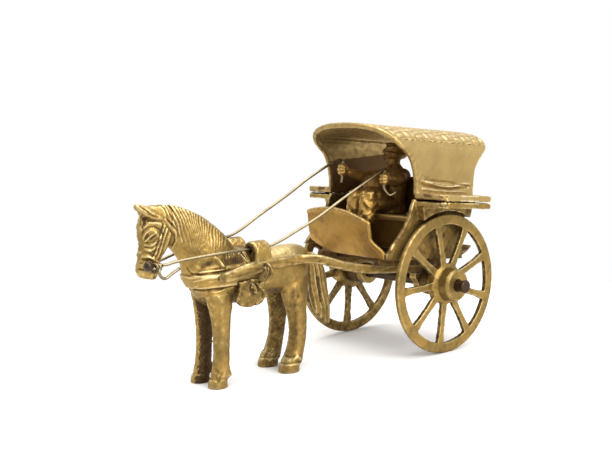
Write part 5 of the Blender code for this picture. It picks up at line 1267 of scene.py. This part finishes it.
def wheelRelief(places, normals):
    away, _, around = wheelParts(places, normals)
    inside = 1 - softStep(away, *wheelShape["tread"])
    rough = uneven(places, 0.09, 3.0, 0.05, 1.3) + 0.03 * lumps(places, 0.45)
    thicker = wheelShape["thicker"] * window(away, *wheelShape["spokes"]) * softStep(around, 0.3, 0.7)
    return (0.25 + 0.75 * inside) * rough + thicker


def wheelTarnishAndShade(places, normals):
    outward = wheelParts(places, normals)[1]
    faces = 0.27 + uneven(places, 0.15, 3.1, 0.12, 1.1)
    faces += 0.26 * softStep(-facingOut(places, normals), 0.3, 0.7)      # painted shade on the faces towards the cart
    # painted shade on the sides of the spokes and inside the rims, less on faces that look outward
    edges = (1 - softStep(np.abs(normals[:, 1]), 0.45, 0.80)) * (0.62 + 0.25 * lumps(places, 1.1))
    return np.maximum(faces, edges * (1 - 0.7 * softStep(outward, 0.3, 0.7)))


def calmWheel(places):
    return 0.35


# Shafts

shaftFront = {
    # x, z, half across, half high, y of the bar ahead of the pin, from the horse's zero
    "bar": [(-7.0, 46.1, 1.6, 1.6, 11.0), (-4.5, 46.2, 1.95, 2.2, 11.0), (0.0, 46.0, 2.0, 2.45, 11.0),
            (5.0, 45.3, 2.0, 2.5, 11.0), (10.0, 44.5, 1.95, 2.45, 10.9), (14.0, 43.8, 1.9, 2.3, 10.8),
            (17.4, 43.2, 1.75, 2.0, 10.6), (18.8, 43.0, 1.1, 1.6, 10.0), (19.8, 42.9, 0.5, 1.1, 9.3)],
}


def addShaftFront(bm, side):
    rise = Vector((0.12, 0, 1)).normalized()
    bridgeLoops(bm, [addLoop(bm, Vector((horseX + x, side * y, z)), left, rise, across, high, 24, 3.2)
                     for x, z, across, high, y in smoothRows(shaftFront["bar"], 4)])


def shaftTarnish(places, normals):
    # brown streaks along the bar, and dirt where its tip lies in the strap
    x, y, z = places.T
    streaks = 0.40 + 0.28 * lumps(np.stack([x / 5, y * 1.2, z * 1.2], axis=1), 0.9)
    return np.maximum(streaks, 0.48 * softStep(x - horseX, 16.8, 18.6))


def shaftRelief(places, normals):
    x, y, z = places.T
    return 0.08 * lumps(np.stack([x / 5, y, z], axis=1), 0.9) + 0.06 * lumps(places, 1.5)


# Floor: strips along its underside that lie over the shafts

runner = {"from": -12.0, "to": 30.0, "side": 18.0, "halfWidth": 1.6, "low": 7.3, "high": 10.6}


def addRunners(bm, _):
    middleX, middleZ = (runner["from"] + runner["to"]) / 2, (runner["low"] + runner["high"]) / 2
    shape = Matrix.Diagonal((runner["to"] - runner["from"], 2 * runner["halfWidth"], runner["high"] - runner["low"], 1))
    for side in (1, -1):
        made = bmesh.ops.create_cube(bm, size=1.0)["verts"]
        place = cartPlace @ Matrix.Translation((middleX, side * runner["side"], middleZ))
        bmesh.ops.transform(bm, matrix=place @ shape, verts=made)


def floorTarnish(places, normals):
    # brown but for the curled lip behind
    return 0.15 + 0.12 * lumps(places, 2.0) + 0.60 * softStep(toCart(places)[0], -25.0, -20.0)


# Dash: one bent plate with a rolled edge, its foot flared out to the tub's side

dash = {
    "floorLevel": 10.3, "height": 19.7, "foot": 31.8, "lean": 5.4, "thickness": 1.5, "halfWidths": (18.6, 19.6),
    "reach": 24.95, "flare": (12.2, 18.2), "crestY": -4.6, "curve": 0.0089, "footRise": 4.9,
    "footCurve": 2.2, "rimRadius": 1.1, "columns": 56, "rows": 44, "voxel": 0.27, "softening": 4,
    "topEdge": (28.6, 29.2), "nearEdge": (16.6, 17.4), "calmEdge": (15.5, 17.5),
}


def dashPlace(u, v):
    # u from the right edge to the left, v from the foot to the top
    fromCrest = u * dash["halfWidths"][0 if u > 0 else 1] - dash["crestY"]
    top = dash["floorLevel"] + dash["height"] - dash["curve"] * fromCrest * fromCrest
    bottom = dash["floorLevel"] + dash["footRise"] * max(0.0, -u) ** dash["footCurve"]
    z = bottom + (top - bottom) * v
    share = min(1.0, max(0.0, (z - dash["floorLevel"]) / dash["height"]))
    x = dash["foot"] + dash["lean"] * math.sin(share * math.pi / 2) ** 0.8
    half = dash["halfWidths"][1]
    if u > 0:
        half = dash["reach"] + (dash["halfWidths"][0] - dash["reach"]) * softStep(z, *dash["flare"])
    return Vector((x, u * half, z))


def makeDash():
    bm = bmesh.new()
    bmesh.ops.create_grid(bm, x_segments=dash["columns"], y_segments=dash["rows"], size=1.0)
    for vert in bm.verts:
        vert.co = dashPlace(vert.co.x, (vert.co.y + 1) / 2)
    bmesh.ops.recalc_face_normals(bm, faces=bm.faces)
    plateMiddle = dashPlace(0.0, 0.5)
    middle = min(bm.faces, key=lambda face: (face.calc_center_median() - plateMiddle).length)
    if middle.normal.x < 0:      # its front looks ahead, so that it thickens backward
        bmesh.ops.reverse_faces(bm, faces=bm.faces)
    bmesh.ops.solidify(bm, geom=bm.faces, thickness=dash["thickness"])
    near = [dashPlace(1.0, i / 30) + Vector((-0.6, -0.4, 0)) for i in range(1, 31)]
    top = [dashPlace(1 - i / 20, 1.0) + Vector((-0.6, 0, -0.6)) for i in range(0, 41)]
    for route in (near, top):
        addTube(bm, route, dash["rimRadius"], 16)
    bmesh.ops.transform(bm, matrix=cartPlace, verts=bm.verts)
    bmesh.ops.recalc_face_normals(bm, faces=bm.faces)
    makeCasting("dashBoard", bm, dash, "dash_panel", "warmBrass", dashRelief, dashTarnishAndShade, calmAt=calmDash)


def calmDash(places):
    return 0.8 * softStep(toCart(places)[1], *dash["calmEdge"])


def dashEdge(places):
    # 1 along the top edge, 0 elsewhere
    _, y, z = toCart(places)
    return softStep(z + dash["curve"] * (y - dash["crestY"]) ** 2, *dash["topEdge"])


def dashRelief(places, normals):
    return 0.12 * lumps(places, 5.0) + 0.04 * lumps(places, 1.4) + 0.12 * dashEdge(places) * lumps(places[:, ::-1], 0.7)


def dashTarnishAndShade(places, normals):
    nearEdge = softStep(toCart(places)[1], *dash["nearEdge"])
    patches = 0.20 + uneven(places, 0.22, 4.2, 0.10, 1.6)
    # painted shade on the back of the plate, which faces into the tub
    behind = 0.8 * softStep(-normals[:, 0], 0.3, 0.7)
    return np.maximum(patches * (1 - 0.8 * np.maximum(dashEdge(places), 0.3 * nearEdge)), behind)


makeDash()


# Driver: robe, sleeves and turban laid over the plain figure

robe = {
    # balls: middle, radii
    "balls": [((14.0, -1.7, 35.0), (9.5, 7.0, 5.2)), ((11.5, -3.0, 40.6), (7.0, 5.4, 5.4)),
              ((3.6, 5.0, 45.4), (3.6, 3.3, 3.2)), ((3.6, -5.0, 45.4), (3.6, 3.3, 3.2)),
              ((8.2, 0.0, 52.1), (0.85, 0.6, 1.15)), ((7.3, 0.0, 49.5), (1.3, 1.4, 0.9)),
              ((8.0, 1.2, 53.3), (0.6, 0.9, 0.4)), ((8.0, -1.2, 53.3), (0.6, 0.9, 0.4))],
    # level slices over each knee: x, y, z, half along x, half along y
    "nearKnee": [(21.0, 2.9, 38.5, 1.5, 1.7), (21.4, 2.9, 37.2, 3.2, 3.1), (21.8, 2.9, 34.0, 3.9, 3.6),
                 (22.2, 2.9, 30.0, 3.8, 3.6), (22.6, 2.9, 25.5, 3.5, 3.5), (22.8, 2.9, 24.0, 2.4, 2.5)],
    "farKnee": [(22.0, -4.9, 38.0, 1.5, 1.7), (22.2, -4.9, 36.8, 2.9, 2.9), (22.4, -4.9, 33.0, 3.5, 3.3),
                (22.8, -4.9, 29.0, 3.4, 3.3), (23.0, -4.9, 25.0, 3.1, 3.2), (23.0, -4.9, 24.0, 2.2, 2.4)],
    # winds of the turban: height, half along x, half along y, tilt in degrees
    "winds": [(53.5, 4.4, 4.1, 8), (55.1, 4.8, 4.5, -12), (56.9, 4.5, 4.2, 14), (58.4, 3.4, 3.2, -10)],
    "windMiddle": 4.1, "windRadius": 0.95, "foldDepth": 0.22, "drapeDepth": 0.16, "fingerDepth": 0.35,
    "hands": ((21.6, 11.8, 43.55), (25.6, -10.6, 46.75)),
}


def addRobe(figure, _):
    bm = bmesh.new()
    for middle, radii in robe["balls"]:
        addBall(bm, middle, radii)
    for rows in (robe["nearKnee"], robe["farKnee"]):
        addLimb(bm, rows, 4)
    for height, halfX, halfY, tilt in robe["winds"]:
        lean = math.tan(math.radians(tilt))
        ring = [(robe["windMiddle"] + halfX * math.cos(a), halfY * math.sin(a), height + lean * halfY * math.sin(a))
                for a in [math.radians(12 * i) for i in range(31)]]
        addTube(bm, ring, robe["windRadius"], 12)
    bmesh.ops.transform(bm, matrix=cartPlace, verts=bm.verts)
    extra = toMesh("robe", bm)
    figure.from_mesh(extra)
    bpy.data.meshes.remove(extra)


def handShare(x, y, z, reach):
    # 1 at a fist, 0 away from both
    share = np.zeros(len(x))
    for hand in robe["hands"]:
        away = np.sqrt((x - hand[0]) ** 2 + (y - hand[1]) ** 2 + ((z - hand[2]) * 0.8) ** 2)
        share = np.maximum(share, 1 - softStep(away, reach, reach + 0.8))
    return share


def robeFolds(places, normals):
    x, y, z = toCart(places)
    knees = softStep(x, 13, 17) * (1 - softStep(z, 38.5, 40)) * (z > 22)
    folds = np.sin((0.8 * y + 0.35 * x + 0.55 * z + 0.9 * np.sin(0.55 * y + 0.3 * z)) * 1.9)
    folds += 0.7 * np.sin((0.9 * y - 0.50 * z + 0.3 * x) * 2.3 + 1.2 * np.sin(0.8 * z)) + 0.4 * lumps(places, 0.8)
    torso = (1 - softStep(x, 14, 18)) * (z < 47) * (z > 30)
    drape = np.sin((z * 0.8 + y * 0.9 + 0.3 * x) * 1.5)
    fingers = np.zeros(len(x))
    for hand in robe["hands"]:
        fingers += handShare(x, y, z, 2.8) * (np.abs(y - hand[1]) < 4) * -ridge(np.mod(z - hand[2], 1.7) - 0.85, 0.26)
    return (robe["foldDepth"] * knees * folds + robe["drapeDepth"] * torso * drape
            + robe["fingerDepth"] * fingers * (normals[:, 0] > 0.1))


def robeTarnish(places, normals):
    x, y, z = toCart(places)
    gold = np.maximum(handShare(x, y, z, 3.3), softStep(x, 15.5, 18.0) * (1 - softStep(z, 38.6, 39.6)))
    belly = softStep(x, 9.0, 12.0) * (z < 47) * (1 - softStep(np.abs(y + 2.5), 5.0, 6.0))
    arms = softStep(x, 7.0, 12.0) * softStep(np.abs(y), 4.5, 6.5) * softStep(z, 38.0, 41.0)
    rest = 0.72 - 0.24 * np.maximum(belly, arms) - 0.10 * softStep(z, 48.0, 50.0) + 0.12 * lumps(places, 1.6)
    return (1 - gold) * rest + gold * (0.16 + 0.18 * lumps(places, 1.1))


# Cart, wheels and driver: the CAD pieces with the soft edges and the surface of a casting

castPieces = {
    # voxel, softening, finish, then what is added, its relief, its tarnish and painted shade, and where its wear is
    # calmed
    "wheel": (0.32, 4, "rubbedBrass", None, wheelRelief, wheelTarnishAndShade, calmWheel),
    "hood_side": (0.36, 3, "hoodBrass", addHoodRim, hoodRelief, sideTarnishAndShade, calmSide),
    "roof": (0.33, 3, "hoodBrass", addHoodRim, roofWeave, underRoof, calmRoof),
    "side_panel": (0.34, 3, "rubbedBrass", None, panelRelief, panelTarnishAndShade, calmPanel),
    "shaft": (0.34, 4, "rubbedBrass", addShaftFront, shaftRelief, shaftTarnish, None),
    "floor": (0.4, 3, "benchBrass", addRunners, None, floorTarnish, None),
    "bench": (0.4, 3, "benchBrass", None, None, None, None),
    "axle_hanger": (0.3, 3, "rubbedBrass", None, None, None, None),
    "driver": (0.26, 5, "warmBrass", addRobe, robeFolds, robeTarnish, None),
}
# the cab's inner pieces and those under the cart take the shaded copies of the brass, painted shade
plainPieces = {"darkSteel": ("axle", "shaft_pin"), "shadedCabBrass": ("backrest", "bench_riser"),
               "shadedUnderBrass": ("axle_collar_left", "axle_collar_right", "front_crossbar", "rear_crossbar"),
               "rubbedBrass": [node for node in nodes if node.startswith("ledge_rivet")]}


def makeCastPieces():
    for name, (voxel, rounds, look, addTo, reliefAt, tarnishAndShadeAt, calmAt) in castPieces.items():
        for ending, side in (("", 0), ("_left", 1), ("_right", -1)):
            node = name + ending
            if node not in nodes:
                continue
            bm = nodeCopy(node)
            if addTo:
                addTo(bm, side)
                bmesh.ops.recalc_face_normals(bm, faces=bm.faces)
            makeCasting(node + ".cast", bm, {"voxel": voxel, "softening": rounds}, node, look, reliefAt, tarnishAndShadeAt,
                        calmAt=calmAt)


def finishPlainPieces():
    for look, names in plainPieces.items():
        for node in names:
            for place in nodes[node].material_slots:
                place.material = finish[look]
        print("CAD pieces in", look + ":", len(names))


makeCastPieces()
finishPlainPieces()


# Stage: floor, lamps, white surroundings and the camera

stage = {
    "floorTone": (0.93, 0.916, 0.902), "floorRough": 0.9, "floorDrop": 0.00002, "fade": (0.12, 0.26), "ambient": 0.85,
    # lamps: name, size, power, place, target
    "lamps": (("topLamp", 0.7, 6.2, (0.0, 0.0, 0.75), (0, 0, 0.04)),
              ("sideLamp", 0.5, 4.0, (-0.05, 0.65, 0.40), (0, 0, 0.05))),
}
view = {
    # metres, then radians
    "place": (0.268413, 0.315582, 0.106028), "yaw": -2.27158937, "pitch": -0.1206938, "roll": -0.02200746,
    "angle": 2 * math.atan(0.306), "clipFrom": 0.01,
}


def seenRays(tree):
    # 1 for what the camera, metal and glass see
    rays = tree.nodes.new("ShaderNodeLightPath")
    seen = mathNode(tree, 'MAXIMUM', rays.outputs["Is Camera Ray"], rays.outputs["Is Glossy Ray"])
    return mathNode(tree, 'MAXIMUM', seen, rays.outputs["Is Transmission Ray"])


def makeTable():
    bm = bmesh.new()
    bmesh.ops.create_grid(bm, x_segments=1, y_segments=1, size=3.0)
    bmesh.ops.translate(bm, vec=(0, 0, -stage["floorDrop"]), verts=bm.verts)
    table = toScene("tableTop", toMesh("tableTop", bm))
    paper = bpy.data.materials.new("whitePaper")
    paper.use_nodes = True
    tree = paper.node_tree
    shader = tree.nodes["Principled BSDF"]
    shader.inputs["Base Color"].default_value = colour(stage["floorTone"])
    shader.inputs["Roughness"].default_value = stage["floorRough"]
    place = tree.nodes.new("ShaderNodeTexCoord").outputs["Object"]
    away = addNode(tree, "ShaderNodeVectorMath", {0: place}, operation='LENGTH').outputs["Value"]
    glow = addNode(tree, "ShaderNodeEmission", {"Color": (1, 1, 1, 1), "Strength": 1.0})
    share = mathNode(tree, 'MULTIPLY', ramp(tree, away, *stage["fade"]), seenRays(tree))
    both = addNode(tree, "ShaderNodeMixShader", {0: share, 1: shader.outputs[0], 2: glow.outputs[0]})
    tree.links.new(both.outputs[0], tree.nodes["Material Output"].inputs["Surface"])
    table.data.materials.append(paper)


def makeLight():
    world = bpy.data.worlds.new("whiteRoom")
    bpy.context.scene.world = world
    world.use_nodes = True
    tree = world.node_tree
    background = tree.nodes["Background"]
    level = mathNode(tree, 'MULTIPLY_ADD', seenRays(tree), 1.0 - stage["ambient"], stage["ambient"])
    tree.links.new(level, background.inputs["Strength"])
    background.inputs["Color"].default_value = (1, 1, 1, 1)
    for name, size, power, place, target in stage["lamps"]:
        lamp = bpy.data.lights.new(name, 'AREA')
        lamp.energy = power
        lamp.size = size
        holder = toScene(name, lamp)
        holder.location = place
        holder.rotation_euler = (Vector(place) - Vector(target)).to_track_quat('Z', 'Y').to_euler()


def makeCamera():
    yaw, pitch, roll = view["yaw"], view["pitch"], view["roll"]
    looking = Vector((math.cos(pitch) * math.cos(yaw), math.cos(pitch) * math.sin(yaw), math.sin(pitch)))
    right = looking.cross(up).normalized()
    above = right.cross(looking)
    turnedRight = right * math.cos(roll) + above * math.sin(roll)
    turnedUp = above * math.cos(roll) - right * math.sin(roll)
    lens = bpy.data.cameras.new("camera")
    lens.sensor_fit = 'HORIZONTAL'
    lens.angle = view["angle"]
    lens.clip_start = view["clipFrom"]
    camera = toScene("camera", lens)
    camera.rotation_euler = Matrix((turnedRight, turnedUp, -looking)).transposed().to_euler()
    camera.location = view["place"]
    bpy.context.scene.camera = camera


makeTable()
makeLight()
makeCamera()
bpy.context.scene.view_settings.view_transform = 'Standard'
print("stage, lamps and camera set")
